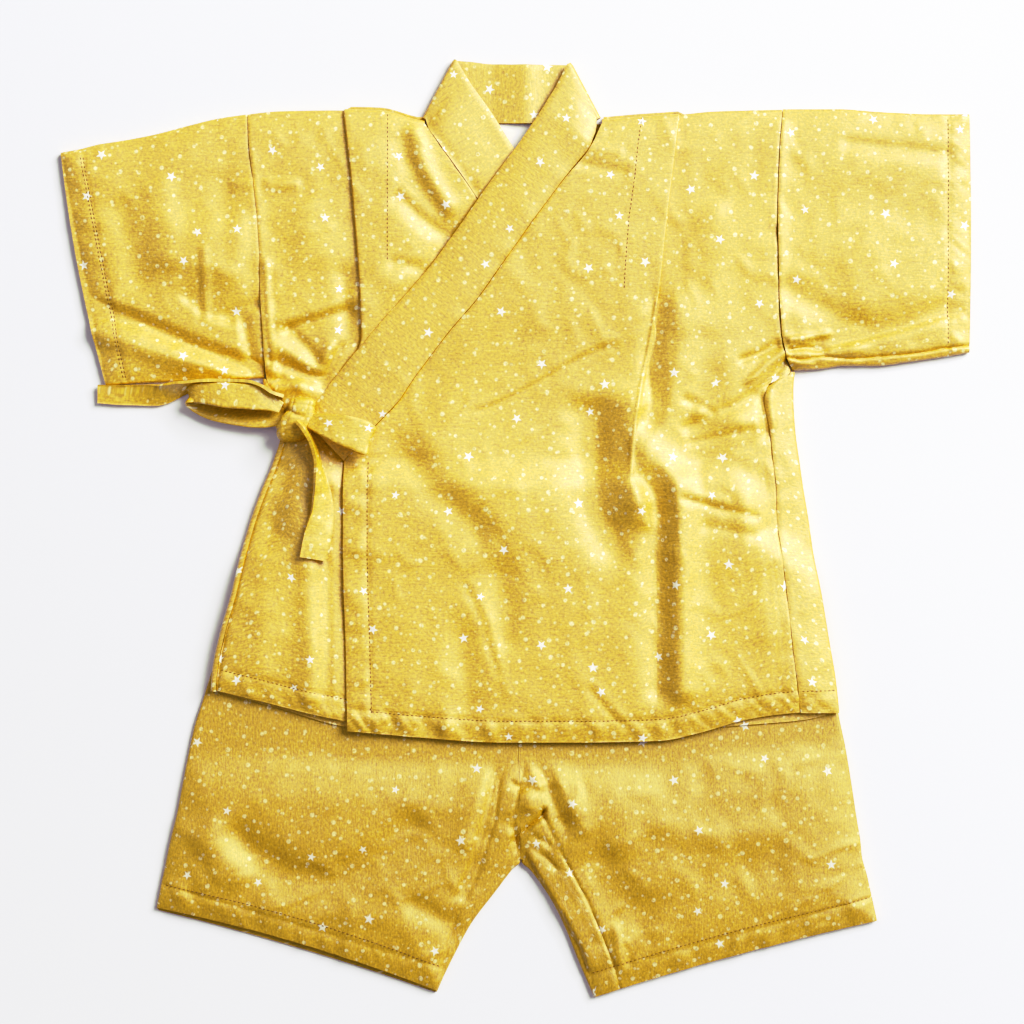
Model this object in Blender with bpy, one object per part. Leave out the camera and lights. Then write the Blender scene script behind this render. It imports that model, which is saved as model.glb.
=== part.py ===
# A jinbei set laid flat: a wrap top with its tied bow, over a pair of shorts.
#
# Lengths in the tables and functions are millimetres; solid() turns them into metres.
# +X is to the right and +Y towards the collar as the set lies face up, +Z is up and
# the surface it lies on is z = 0. "Left" in a piece's name is the wearer's left.
#
# Each piece is a grid of points on the middle of its cloth, rows by columns. solid()
# moves that grid half a wall out and half a wall in and closes the edge between them.

import bpy
import bmesh
import numpy as np
from collections import namedtuple

for old in list(bpy.data.objects):
    bpy.data.objects.remove(old)

MM = 0.001

# Cloth
WALL = 1.0            # thickness of one layer of cloth
BAND_WALL = 1.8       # the collar is a doubled band
TIE_WALL = 1.4        # the ties are sewn tubes, pressed flat
GAP = 0.3             # space between touching pieces
LAYER = WALL + GAP    # from one layer to the next that lies on it
TURN = 1.2            # radius of a folded edge, at the middle of the wall
EDGE = TURN + WALL / 2
FOLDED = 2 * TURN     # a folded edge's upper layer above its lower layer
TUCK_LAYER = 1.6      # the layers of a tuck lie a little looser
TUCK_RISE = 2 * TUCK_LAYER
TUCK_TURN = TUCK_LAYER / 2

SEAM = GAP / 2        # each piece stops this far short of a seam

# Loft of the upper layers over the lower ones, and how far in from an edge it grows
JACKET_RISE = 4.6
JACKET_REACH = 14.0
WRAP_REACH = 9.8      # from the left front's own edge
SHORTS_RISE = 6.0
SHORTS_REACH = 16.0
LEAST_LOFT = 0.5      # no fold sinks the cloth lower than this above its flat height
LOFT_BLEND = 0.8

# Shorts under the jacket
WAIST_Y = 7.0
WAIST_DEPTH = 25.0
WAIST_LEFT = -114.0
WAIST_RIGHT = 120.0
WAIST_WAVE_HEIGHT = 0.45
SHORTS_TOP = FOLDED + WALL          # upper face of the shorts where the jacket lies on them
STEP_OVER_WAIST = 4.7               # the jacket's own zero above the floor there
STEP_OVER_LEGS = SHORTS_TOP + GAP
STEP_CHANGE_Y = -10.0               # from one to the other below here
STEP_CHANGE = 26.0

# Across the wrap top from its left edge to its right, at one distance Y. An edge is the
# outline, a seam is where a front meets the back or a sleeve. front is the left front's
# own edge, hidden is the edge of the right front that lies under it. A tuck is folded at
# its fold and sewn down at its stitch line.
Section = namedtuple("Section", "y edge_left seam_left front hidden seam_right edge_right "
                                "fold_left stitch_left fold_right stitch_right")
SECTIONS = [
    Section(246, -160, -160, 52, -54, 160, 160, -102, -76, 98, 72),
    Section(230, -159, -159, 45, -44, 158, 158, -100, -76, 96, 72),
    Section(209, -156.5, -156.5, 29, -30, 157, 157, -97.5, -76, 93.5, 71.5),
    Section(185, -154, -154, 12, -14.5, 156.5, 156.5, -95.5, -76, 90.5, 67),
    Section(161, -152.5, -152.5, -5, 1.5, 157, 157, -93.5, -76, 88, 65.5),
    Section(137, -152, -152, -22, 18.5, 157.5, 157.5, -92, -76, 84, 66.5),
    Section(116, -150.6, -150.6, -40, 36.5, 159, 159, -91.5, -77, 81.5, 71),
    Section(101, -149.9, -149.9, -51.5, 48, 162, 162, -95.5, -90, 79, 73),
    Section(91, -151.2, -148.6, -59, 55.5, 165, 167.7, -97.5, -98, 77.5, 74.5),
    Section(85, -147.5, -144.3, -63, 59.5, 151.5, 167, -98.5, -102, 76, 76),
    Section(76, -143, -139.2, -69, 65.5, 149, 167, -99, -106, 75, 77),
    Section(59, -140, -136.2, -85, 82, 152, 168, -98, -108, 72, 79),
    Section(40, -145, -141.2, -102, 111, 154, 170.5, -95.5, -108, 70, 83),
    Section(23, -152, -148.2, -102.5, 109.5, 156, 173, -93.5, -108, 72, 88),
    Section(5, -158.5, -154.8, -102.5, 108, 156.5, 176, -93, -108, 77, 94),
    Section(-16, -164.5, -160.8, -102.5, 105.5, 159, 179, -93, -108, 82, 100.5),
    Section(-40, -170, -166.4, -102, 103, 162, 183.5, -93, -108, 84, 104.5),
    Section(-67, -177, -173.4, -101, 100, 165, 188, -93, -108, 84, 105),
    Section(-91, -181, -177.4, -100.5, 97.5, 168, 192, -93, -108, 84, 105),
    Section(-110, -182, -178.4, -100, 95.5, 170.5, 194, -93, -108, 84, 105),
]
UNDERARM_ROW = 8      # the first section below both underarms
RAMP_ROW = 11         # from here down the tucks have opened into slopes
WRAP_ROW = 12         # from here down the three layers share their columns

# Outlines, as (x, y)
UNDERARMS = [(-150, 89.2), (-100, 91), (100, 91), (152, 93.4), (168, 93.4)]
SHOULDERS = [(-160, 247.6), (-141, 249.5), (-102, 250), (-81, 249.6), (-54, 243.5),
             (52, 244), (72, 245.5), (98, 247.3), (120, 249.3), (160, 250.4)]
HEM_LEFT_FRONT = [(-100, -121), (-57, -125), (-9, -128), (39, -128), (87, -127),
                  (111, -122), (135, -115), (159, -111), (171, -110)]
HEM_RIGHT_FRONT = [(-182, -96), (-153, -103), (-117, -112), (-69, -120), (-9, -122),
                   (51, -121), (96, -119)]
HEM_BACK = [(-182, -97), (-144, -107), (-100, -119), (-57, -123), (-9, -125), (51, -124),
            (99, -121), (135, -118), (171, -115), (194, -110)]

# Along a sleeve from its armhole to its cuff: where its two folded edges are, and how
# far the line across from one to the other bows outwards at its middle
Cross = namedtuple("Cross", "upper_x upper_y lower_x lower_y bow")
SLEEVE_RIGHT = [
    Cross(-160, 248, -149.2, 90, 0),
    Cross(-177, 245.5, -167, 90, 1),
    Cross(-196, 241, -184, 90, 1.5),
    Cross(-215, 236, -201, 89.5, 2),
    Cross(-236, 232, -217, 89, 2),
    Cross(-249, 230, -230, 88, 2.5),
    Cross(-261, 227, -238, 87, 3),
    Cross(-272, 225, -245, 86, 3),
]
SLEEVE_LEFT = [
    Cross(160, 251, 166.8, 94.2, 0),
    Cross(178, 251, 183, 95, 0),
    Cross(195, 251, 199, 97, 0),
    Cross(215, 249.5, 217, 97, 0),
    Cross(234, 248.5, 234, 99, 0),
    Cross(247, 248, 248, 101, 0),
    Cross(260, 248, 261, 103, 0),
    Cross(272, 248, 272, 105, -1),
]

# Across one leg of the shorts from its outer edge to its inner edge, waist to hem
LEG_RIGHT = [
    Cross(-114, -18, 1, -18, 0),
    Cross(-133, -31, 1, -31, 0),
    Cross(-153, -46, 1, -46, 0),
    Cross(-169, -64, 1, -64, 0),
    Cross(-181, -84, 1.5, -84, 0),
    Cross(-187, -102.5, 2, -132, 0),
    Cross(-192, -118, 2.5, -145, 0),
    Cross(-198, -146, 3, -159, 0),
    Cross(-203, -172, 3, -174, 0),
    Cross(-206, -184, 3.5, -191, 0),
    Cross(-208, -193, -1, -200, -1),
    Cross(-210, -203, -15, -217, -2),
    Cross(-212, -212, -28, -237, -3),
    Cross(-213.5, -220, -37, -256, -3.5),
    Cross(-215, -227, -47, -277, -4),
]
LEG_LEFT = [
    Cross(120, -18, 1, -18, 0),
    Cross(143, -31, 1, -31, 0),
    Cross(163, -46, 1, -46, 0),
    Cross(179, -64, 1, -64, 0),
    Cross(188, -84, 1.5, -84, 0),
    Cross(195, -117, 2, -134, 0),
    Cross(198, -131, 2.5, -146, 0),
    Cross(201.5, -152, 3, -159, 0),
    Cross(205, -175, 3, -174, 0),
    Cross(207, -187, 3.5, -191, 0),
    Cross(208, -197, 9, -203, -1),
    Cross(211, -208, 21, -221, -2),
    Cross(213, -217, 30, -240, -2),
    Cross(215, -226, 38, -260, -1.5),
    Cross(217, -235, 47, -281, -1),
]
CROTCH_ROW = 9        # the leg is a closed tube from this section down

# The collar band's free edge and how high it lies: one row for each section from the
# shoulder down to where the band ends, for the part that shows and the part under it
Edge = namedtuple("Edge", "x y lift")
COLLAR_OVER = [
    Edge(16, 250, 6.4), Edge(2, 229.5, 6.3), Edge(-16, 205, 5.9), Edge(-33, 180.5, 5.8),
    Edge(-50, 157, 6.0), Edge(-66, 138.5, 6.8), Edge(-76.5, 127, 7.3), Edge(-85, 117, 7.3),
    Edge(-90, 111, 7.2), Edge(-97, 103, 6.8), Edge(-110, 87, 5.2), Edge(-126, 65, 4.6),
]
COLLAR_UNDER = [
    Edge(-15, 250, 3.8), Edge(-2, 229.5, 3.6), Edge(13.5, 205, 2.8), Edge(29, 181, 2.2),
    Edge(46, 157, 2.2), Edge(62, 138, 2.2), Edge(73.5, 123.5, 2.2), Edge(81, 114, 2.2),
    Edge(85, 108, 2.2), Edge(91, 99, 2.2), Edge(107, 82, 2.2), Edge(132, 64, 2.2),
]

# Round the back of the neck: its free edge, the seam that joins it to the body and how
# high it lies. It folds over itself at each side of the neck.
Band = namedtuple("Band", "free_x free_y seam_x seam_y lift")
NECK_OVER = [Band(24.5, 264, 48.3, 237, 5.9), Band(31.3, 277.4, 49, 244, 5.4)]
NECK_UNDER = [Band(-25.5, 266, -49, 238, 4.0), Band(-33.8, 279.6, -50.8, 243.8, 4.0)]
COLLAR_BACK = [
    Band(31.3, 277.4, 49, 244, 0.9),
    Band(22, 277.5, 38, 242.6, 0.9),
    Band(0, 277.5, 6, 241.9, 0.9),
    Band(-16, 278, -18, 242.3, 0.9),
    Band(-26, 279, -40, 242.6, 0.9),
    Band(-33.8, 279.6, -50.8, 243.8, 0.9),
]

# The largest folds: ridges stand up (height > 0) and troughs sink in
Fold = namedtuple("Fold", "name points width height")
LEFT_FRONT_FOLDS = [
    Fold("trough below the tuck", [(92, 108), (90, 86), (86, 65), (79, 46)], 8, -3.2),
    Fold("ridge beside it", [(71, 88), (68, 50), (70, 18), (75, 6)], 6, 2.2),
    Fold("long trough", [(77, 36), (85, 25), (89, 8), (92, -20), (91, -60), (92, -98)], 6, -4.2),
    Fold("sharp ridge", [(95, 22), (98, 0), (99, -40), (98, -94)], 5, 2.6),
    Fold("dark hollow", [(57, 76), (53, 46), (58, 16), (74, -6)], 10, -2.6),
    Fold("slanting hollow", [(-64, 52), (-44, 28), (-10, -8), (26, -32)], 13, -2.2),
    Fold("soft hollow", [(-9, -30), (-5, -66)], 9, -1.6),
    Fold("lower hollow", [(-32, -66), (-28, -104)], 9, -1.6),
    Fold("side hollow", [(100, 77), (118, 69), (144, 60)], 7, -1.8),
]
RIGHT_FRONT_FOLDS = [
    Fold("hollow beside the wrap", [(-112, 20), (-112, -104)], 6, -2.0),
    Fold("standing fold", [(-124, 0), (-122, -50), (-121, -100)], 8, 1.4),
    Fold("chest hollow", [(-68, 238), (-64, 215), (-54, 200), (-40, 176)], 9, -2.0),
    Fold("pull to the bow", [(-146, 92), (-128, 90), (-108, 88)], 6, -1.8),
]
SLEEVE_RIGHT_FOLDS = [
    Fold("ridge to the cuff", [(-254, 124), (-236, 121), (-213, 112), (-180, 100), (-152, 92)], 9, 2.2),
    Fold("hollow above it", [(-200, 138), (-176, 124), (-158, 122)], 9, -2.2),
    Fold("armhole hollow", [(-166, 212), (-163, 160), (-162, 118)], 8, -1.8),
    Fold("long fold", [(-236, 196), (-226, 160), (-220, 136)], 10, -1.4),
]
SLEEVE_LEFT_FOLDS = [
    Fold("long fold", [(170, 116), (205, 122), (240, 130), (266, 138)], 9, -2.4),
    Fold("upper fold", [(192, 228), (230, 225), (264, 219)], 10, -1.6),
    Fold("armhole hollow", [(168, 220), (167, 170), (168, 130)], 8, -1.6),
]
LEG_RIGHT_FOLDS = [
    Fold("hollow below the hem", [(-150, -132), (-110, -134), (-64, -133)], 12, -2.6),
    Fold("bright ridge", [(-190, -174), (-171, -199), (-158, -216)], 10, 2.6),
    Fold("curved hollow", [(-175, -175), (-160, -192), (-138, -206), (-108, -211), (-78, -194),
                           (-52, -170)], 11, -3.2),
    Fold("centre ridge", [(-3, -132), (-8, -160), (-6, -182)], 8, 1.6),
]
LEG_LEFT_FOLDS = [
    Fold("inner hollow", [(19, -137), (33, -174), (45, -205), (56, -226), (80, -242)], 9, -3.2),
    Fold("inner ridge", [(34, -140), (48, -175), (62, -204)], 9, 1.8),
    Fold("upper hollow", [(74, -158), (110, -164), (158, -160)], 13, -2.4),
    Fold("lower hollow", [(120, -200), (142, -204), (166, -196)], 12, -2.2),
]

# Ties: the middle of each strip, the way it leans and its width. A lean of 0 lies flat
# and 90 stands on its edge.
Strip = namedtuple("Strip", "x y z lean width")
TIE_LONG_END = [
    Strip(-250, 80.3, 2.6, -8, 11),
    Strip(-232, 79.6, 2.7, -10, 12),
    Strip(-215, 79.6, 3.8, -24, 13),
    Strip(-200, 83.5, 6.2, -58, 13),
    Strip(-186, 87.2, 7.7, -84, 13),
    Strip(-170, 88, 8.2, -90, 13),
    Strip(-158, 87.2, 9.6, -90, 13),
    Strip(-150, 84.2, 11.4, -88, 12),
    Strip(-144.5, 80.4, 12.4, -84, 10),
    Strip(-138.0, 77.6, 12.0, -76, 8),
]
TIE_LEFT_LOOP = [
    Strip(-140.2, 72, 11.8, 4, 8),
    Strip(-150, 75.5, 13.6, 8, 12),
    Strip(-164, 77.8, 14.6, 10, 14),
    Strip(-180, 78.4, 13.4, 8, 14),
    Strip(-190, 77.6, 11, 4, 12.5),
    Strip(-194, 76.4, 7.8, 0, 11.5),
    Strip(-191, 74.4, 4.2, 0, 12),
    Strip(-180, 71.4, 2.4, 0, 13),
    Strip(-166, 69.4, 2.4, 0, 13.5),
    Strip(-153, 69, 4.2, 0, 12),
    Strip(-142.3, 69, 7.4, 0, 9),
]
TIE_RIGHT_LOOP = [
    Strip(-119.9, 65.7, 14.5, 0, 9),
    Strip(-111, 61.6, 18.2, 4, 14),
    Strip(-100, 57.8, 20.2, 4, 17),
    Strip(-90, 54.5, 19.2, 2, 17),
    Strip(-85.5, 52.8, 16.6, 0, 16),
    Strip(-87.5, 51.6, 14.2, 0, 15),
    Strip(-97, 52.2, 12.8, 0, 14),
    Strip(-108, 55.5, 12.2, 0, 12),
    Strip(-118.7, 59.8, 11.6, 0, 9),
]
TIE_SHORT_END = [
    Strip(-128, 64, 18.1, 20, 8),
    Strip(-122.5, 56, 20.2, 50, 11),
    Strip(-117.5, 47, 18.4, 58, 13),
    Strip(-115, 38, 15.6, 50, 14),
    Strip(-114.5, 26, 13.3, 40, 15.5),
    Strip(-116, 10, 12.7, 32, 16.5),
    Strip(-118, -4, 12.0, 24, 17),
    Strip(-120, -18.5, 10.9, 16, 17),
]
# The knot: a pad wrapped round the crossing, from its top to its lower bulge
Pad = namedtuple("Pad", "x y z half_width half_height")
TIE_KNOT = [
    Pad(-129, 77.2, 11.4, 7, 2.4),
    Pad(-129, 74.5, 11.4, 9.5, 4.4),
    Pad(-130, 69, 11.2, 10.4, 5.2),
    Pad(-130.5, 63.5, 10.6, 10.8, 5),
    Pad(-132, 58, 9.8, 9.4, 4.4),
    Pad(-134, 54.2, 9, 6, 2.2),
]

LABEL_LEFT = -11.0
LABEL_RIGHT = 13.0
LABEL_TOP = 242.0
LABEL_BOTTOM = 226.0

# Colours, as linear red, green and blue
MUSTARD = (0.71, 0.45, 0.07)
SHADES = {
    "cotton_jacket": (MUSTARD, 0.62),
    "cotton_shorts": ((0.60, 0.37, 0.05), 0.62),
    "cotton_ties": ((0.76, 0.50, 0.10), 0.60),
    "label_tape": ((0.86, 0.80, 0.66), 0.55),
}


# ---------------------------------------------------------------- curves and tables

def smooth_step(t):
    # 0 below t = 0, 1 above t = 1, and level at both ends
    t = np.clip(t, 0.0, 1.0)
    return t * t * (3.0 - 2.0 * t)


def smooth_max(a, b, blend):
    # the larger of two heights, rounded where they meet
    return 0.5 * (a + b + np.sqrt((a - b) ** 2 + blend ** 2))


def through(keys, values, wanted):
    # Monotone cubic through a table's rows: it never swings past a row's own value
    keys = np.asarray(keys, float)
    values = np.asarray(values, float)
    wanted = np.clip(np.asarray(wanted, float), keys[0], keys[-1])
    step = np.diff(keys)
    rise = np.diff(values, axis=0) / step[:, None]
    slope = np.empty_like(values)
    slope[0] = rise[0]
    slope[-1] = rise[-1]
    before = rise[:-1]
    after = rise[1:]
    same = before * after > 0
    total = np.where(same, before + after, 1.0)
    slope[1:-1] = np.where(same, 2.0 * before * after / total, 0.0)
    cell = np.clip(np.searchsorted(keys, wanted, side="right") - 1, 0, len(step) - 1)
    t = ((wanted - keys[cell]) / step[cell])[:, None]
    width = step[cell][:, None]
    return ((2 * t ** 3 - 3 * t ** 2 + 1) * values[cell]
            + (t ** 3 - 2 * t ** 2 + t) * width * slope[cell]
            + (3 * t ** 2 - 2 * t ** 3) * values[cell + 1]
            + (t ** 3 - t ** 2) * width * slope[cell + 1])


def rows_of(table, count):
    # the table's rows read at `count` even steps, one array for each column
    values = through(np.arange(len(table)), np.array(table, float),
                     np.linspace(0, len(table) - 1, count))
    return dict(zip(table[0]._fields, values.T))


def height_of(outline, x):
    # y of an outline that runs from left to right, at each x
    points = np.array(outline, float)
    flat = np.ravel(x)
    return through(points[:, 0], points[:, 1:], flat)[:, 0].reshape(np.shape(x))


def distance(x, y, points):
    # from each place to the nearest point of a broken line
    place = np.stack([np.ravel(x), np.ravel(y)], 1)[:, None, :]
    points = np.array(points, float)
    start = points[:-1][None]
    run = (points[1:] - points[:-1])[None]
    share = ((place - start) * run).sum(2) / np.maximum((run * run).sum(2), 1e-9)
    nearest = start + np.clip(share, 0, 1)[..., None] * run
    return np.sqrt(((place - nearest) ** 2).sum(2)).min(1).reshape(np.shape(x))


def folds_at(x, y, folds):
    # each fold is a smooth bump across its line, fading past its ends
    total = np.zeros(np.shape(x))
    for fold in folds:
        total = total + fold.height * np.exp(-(distance(x, y, fold.points) / fold.width) ** 2)
    return total


def column(table, name, y_name="y"):
    return [(getattr(row, name), getattr(row, y_name)) for row in table]


# ---------------------------------------------------------------- solids

def unit(vectors):
    return vectors / np.maximum(np.linalg.norm(vectors, axis=-1, keepdims=True), 1e-9)


def normals_of(grid, around=False):
    # square to the grid, from the differences between neighbouring points
    along = np.gradient(grid, axis=0)
    if around:
        across = np.roll(grid, -1, axis=1) - np.roll(grid, 1, axis=1)
    else:
        across = np.gradient(grid, axis=1)
    return unit(np.cross(across, along))


def solid(name, middle, wall, shade, active=None, around=False, normals=None):
    # One closed body: the grid moved half a wall each way, with its open edge closed.
    # active says which of its cells hold cloth; around joins its last column to its first.
    # Each cell is split along the diagonal that runs from upper left to lower right, so
    # that layers lying on each other are split alike.
    rows, cols = middle.shape[:2]
    if normals is None:
        normals = normals_of(middle, around)
    faces_out = middle + normals * wall / 2
    faces_in = middle - normals * wall / 2
    cells_across = cols if around else cols - 1
    if active is None:
        active = np.ones((rows - 1, cells_across), bool)
    number = np.arange(rows * cols).reshape(rows, cols)
    number = np.hstack([number, number[:, :1]])
    a = number[:-1, :cells_across][active]
    b = number[:-1, 1:cells_across + 1][active]
    c = number[1:, 1:cells_across + 1][active]
    d = number[1:, :cells_across][active]
    flat = middle.reshape(-1, 3)[:, :2]
    turned = np.prod(flat[c] - flat[a], 1) > np.prod(flat[d] - flat[b], 1)
    first = np.stack([a, b, np.where(turned, d, c)], 1)
    second = np.stack([np.where(turned, b, a), c, d], 1)
    sheet = np.vstack([first, second])
    under = sheet[:, ::-1] + rows * cols
    sides = np.vstack([sheet[:, [0, 1]], sheet[:, [1, 2]], sheet[:, [2, 0]]])
    twins = {(int(p), int(q)) for p, q in sides}
    rim = [(p, q) for p, q in twins if (q, p) not in twins]
    rim.sort()
    shift = rows * cols
    walls = [(q, p, p + shift) for p, q in rim] + [(q, p + shift, q + shift) for p, q in rim]
    points = np.vstack([faces_out.reshape(-1, 3), faces_in.reshape(-1, 3)])
    triangles = np.vstack([sheet, under, np.array(walls)])
    used = np.unique(triangles)
    renumber = np.zeros(len(points), int)
    renumber[used] = np.arange(len(used))
    return place(name, points[used], renumber[triangles], shade)


def place(name, points, triangles, shade):
    mesh = bpy.data.meshes.new(name)
    mesh.from_pydata((points * MM).tolist(), [], triangles.tolist())
    work = bmesh.new()
    work.from_mesh(mesh)
    bmesh.ops.recalc_face_normals(work, faces=work.faces)
    work.to_mesh(mesh)
    work.free()
    mesh.shade_smooth()
    mesh.set_sharp_from_angle(angle=np.radians(50))
    mesh.materials.append(material(shade))
    thing = bpy.data.objects.new(name, mesh)
    bpy.context.scene.collection.objects.link(thing)
    return thing


def material(name):
    if name in bpy.data.materials:
        return bpy.data.materials[name]
    colour, roughness = SHADES[name]
    made = bpy.data.materials.new(name)
    made.use_nodes = True
    shader = made.node_tree.nodes["Principled BSDF"]
    shader.inputs["Base Color"].default_value = (*colour, 1.0)
    shader.inputs["Roughness"].default_value = roughness
    shader.inputs["Metallic"].default_value = 0.0
    return made


# ---------------------------------------------------------------- heights

def jacket_outline():
    sleeve_right = [(row.upper_x, row.upper_y) for row in SLEEVE_RIGHT[::-1]]
    sleeve_left = [(row.upper_x, row.upper_y) for row in SLEEVE_LEFT]
    below_left = [(row.lower_x, row.lower_y) for row in SLEEVE_LEFT[::-1]]
    below_right = [(row.lower_x, row.lower_y) for row in SLEEVE_RIGHT]
    lower = SECTIONS[UNDERARM_ROW:]
    side_right = column(lower, "edge_right")
    side_left = column(lower, "edge_left")[::-1]
    top = SHOULDERS[1:5] + [(-36, 281), (34, 279)] + SHOULDERS[5:-1]
    return (sleeve_right + top + sleeve_left + below_left + side_right + HEM_LEFT_FRONT[::-1]
            + HEM_RIGHT_FRONT[:3][::-1] + side_left + below_right + sleeve_right[:1])


def leg_outline(leg):
    outer = [(row.upper_x, row.upper_y) for row in leg]
    inner = [(row.lower_x, row.lower_y) for row in leg[CROTCH_ROW:]]
    return outer + inner[::-1]


def shorts_outline():
    left = leg_outline(LEG_LEFT)
    return ([(WAIST_LEFT, WAIST_Y)] + leg_outline(LEG_RIGHT) + left[::-1]
            + [(WAIST_RIGHT, WAIST_Y), (WAIST_LEFT, WAIST_Y)])


def inside(x, y, outline):
    # whether each place is inside a closed outline, by counting the sides it crosses
    points = np.array(outline, float)
    px = np.ravel(x)[:, None]
    py = np.ravel(y)[:, None]
    x0, y0 = points[:-1, 0], points[:-1, 1]
    x1, y1 = points[1:, 0], points[1:, 1]
    spans = (y0 > py) != (y1 > py)
    rise = np.where(y1 == y0, 1.0, y1 - y0)
    crossing = spans & (px < x0 + (py - y0) / rise * (x1 - x0))
    return (crossing.sum(1) % 2 == 1).reshape(np.shape(x))


# Where a tuck has gone, and over what length it lets go
TuckEnd = namedtuple("TuckEnd", "y fade")
LEFT_TUCK_END = TuckEnd(10.0, 45.0)
RIGHT_TUCK_END = TuckEnd(71.0, 26.0)
RIGHT_TUCK_LEVEL = -76.0  # the right front comes level between here and the wrap
RIGHT_TUCK_FADE = 45.0

BRIDGE_START = 16.0   # the jacket bridges this far past the shorts before it sinks
BRIDGE_END = 36.0
HEM_CLEAR = 9.0       # the shorts stay pressed flat this far below the jacket's hem
HEM_REACH = 16.0


def jacket_floor(x, y):
    # what the jacket lies on: the surface, or the shorts where they are under it. Past
    # the shorts' edge the cloth bridges down to the surface.
    outline = shorts_outline()
    away = np.where(inside(x, y, outline), 0.0, distance(x, y, outline))
    lower = smooth_step((STEP_CHANGE_Y - y) / STEP_CHANGE)
    step = STEP_OVER_WAIST + (STEP_OVER_LEGS - STEP_OVER_WAIST) * lower
    return step * (1.0 - smooth_step((away - BRIDGE_START) / (BRIDGE_END - BRIDGE_START)))


def filled(depth, reach):
    return 1.0 - np.exp(-depth / reach)


def tuck_amount(y, end):
    # a tuck is sewn flat above and let go below, down to its end
    return smooth_step((y - end.y) / end.fade)


def cover_line():
    # the edge of what lies on the right front: the collar's free edge, then the left front
    return ([(row.free_x, row.free_y) for row in NECK_OVER[::-1]]
            + [(row.x, row.y) for row in COLLAR_OVER]
            + column(SECTIONS[WRAP_ROW:], "front"))


COVER_CLEAR = 10.0    # the right front is already flat this far outside what covers it
COVER_REACH = 20.0
SIDE_LIFT = -126.0    # left of here the right front rises to the folded side edge
SIDE_LIFT_FADE = 10.0


def uncovered(x, y):
    # 0 where the left front lies on the right front, 1 well away from it
    line = np.array(cover_line() + [(-100, -140)], float)
    order = np.argsort(line[:, 1])
    edge = np.interp(np.ravel(y), line[order, 1], line[order, 0]).reshape(np.shape(x))
    away = np.where(x < edge, distance(x, y, line), 0.0)
    return smooth_step((away - COVER_CLEAR) / COVER_REACH)


def right_front_height(x, y):
    # down on the back where it is covered, but never flatter than the side's folded edge
    loft = JACKET_RISE * filled(distance(x, y, jacket_outline()), JACKET_REACH)
    loft = smooth_max(loft + folds_at(x, y, RIGHT_FRONT_FOLDS), LEAST_LOFT, LOFT_BLEND)
    free = np.maximum(uncovered(x, y), smooth_step((SIDE_LIFT - x) / SIDE_LIFT_FADE))
    return 0.5 + LAYER + free * (FOLDED - LAYER + loft)


def left_front_height(x, y):
    loft = JACKET_RISE * filled(distance(x, y, jacket_outline()), JACKET_REACH)
    loft = loft * filled(distance(x, y, cover_line()), WRAP_REACH)
    loft = smooth_max(loft + folds_at(x, y, LEFT_FRONT_FOLDS), LEAST_LOFT, LOFT_BLEND)
    return 0.5 + FOLDED + loft


def sleeve_height(x, y, folds):
    loft = JACKET_RISE * filled(distance(x, y, jacket_outline()), JACKET_REACH)
    raised = smooth_max(loft + folds_at(x, y, folds), 0.0, LOFT_BLEND) - LOFT_BLEND / 2
    return 0.5 + FOLDED + np.maximum(raised, 0.0)


def leg_height(x, y, folds):
    # pressed flat under the jacket, lofty below its hem
    hem = np.minimum(height_of(HEM_LEFT_FRONT, x), height_of(HEM_BACK, x))
    shown = smooth_step((hem - HEM_CLEAR - y) / HEM_REACH)
    loft = SHORTS_RISE * filled(distance(x, y, shorts_outline()), SHORTS_REACH)
    raised = smooth_max(loft + folds_at(x, y, folds), 0.0, LOFT_BLEND) - LOFT_BLEND / 2
    return 0.5 + FOLDED + shown * np.maximum(raised, 0.0)


# ---------------------------------------------------------------- wrap top

# Where the shared columns run between the left front's edge and the right front's edge,
# as shares of that width: close together where the tuck's folds run
SHARED = [0, 0.10, 0.20, 0.30, 0.39, 0.47, 0.55, 0.62, 0.69, 0.77, 0.80, 0.828, 0.852,
          0.876, 0.90, 0.922, 0.945, 0.97, 1.0]
SIDE_LEFT_COLUMNS = 6
SIDE_RIGHT_COLUMNS = 7

# The tuck's own columns, from its fold to its stitch line: how far along the layer
# between them, how many turns off the end of it, and the share of the tuck's rise
Tuck = namedtuple("Tuck", "along turn rise")
TUCK = [
    Tuck(0, 1, 1.0),
    Tuck(0, 0, 0.75),
    Tuck(0, 1, 0.5),
    Tuck(0.5, 0, 0.5),
    Tuck(1, -1, 0.5),
    Tuck(1, 0, 0.25),
    Tuck(1, -1, 0.0),
]
OPEN_RISE = 0.12      # how far the middle layer's ends part as the tuck lets go
CLOSED_DEPTH = 5.0    # a tuck deeper than this lies flat on itself
STITCH_MARGIN = 3.0   # a tuck's layers are level this far past its stitches
FOLD_MARGIN = 2.0     # and this far past its fold


def tuck_columns(fold, stitch, inward):
    # x and share of the rise at each of the tuck's columns. inward is the side of the
    # fold that its stitch line is on.
    depth = (stitch - fold) * inward
    closed = float(np.clip(depth / CLOSED_DEPTH, -1.0, 1.0))
    xs = []
    rises = []
    for step in TUCK:
        inner = step.rise == 0.5
        reach = TUCK_TURN * step.turn * inward * (closed if inner else 1.0)
        parted = OPEN_RISE * (1.0 - abs(closed)) * step.turn if inner else 0.0
        xs.append(fold + (stitch - fold) * step.along + reach)
        rises.append(step.rise + parted)
    return xs, rises


def shared_columns(row):
    left = np.linspace(row.seam_left, row.front, SIDE_LEFT_COLUMNS + 1)[:-1]
    middle = row.front + (row.hidden - row.front) * np.array(SHARED)
    right = np.linspace(row.hidden, row.seam_right, SIDE_RIGHT_COLUMNS + 1)[1:]
    return np.concatenate([left, middle, right])


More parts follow.
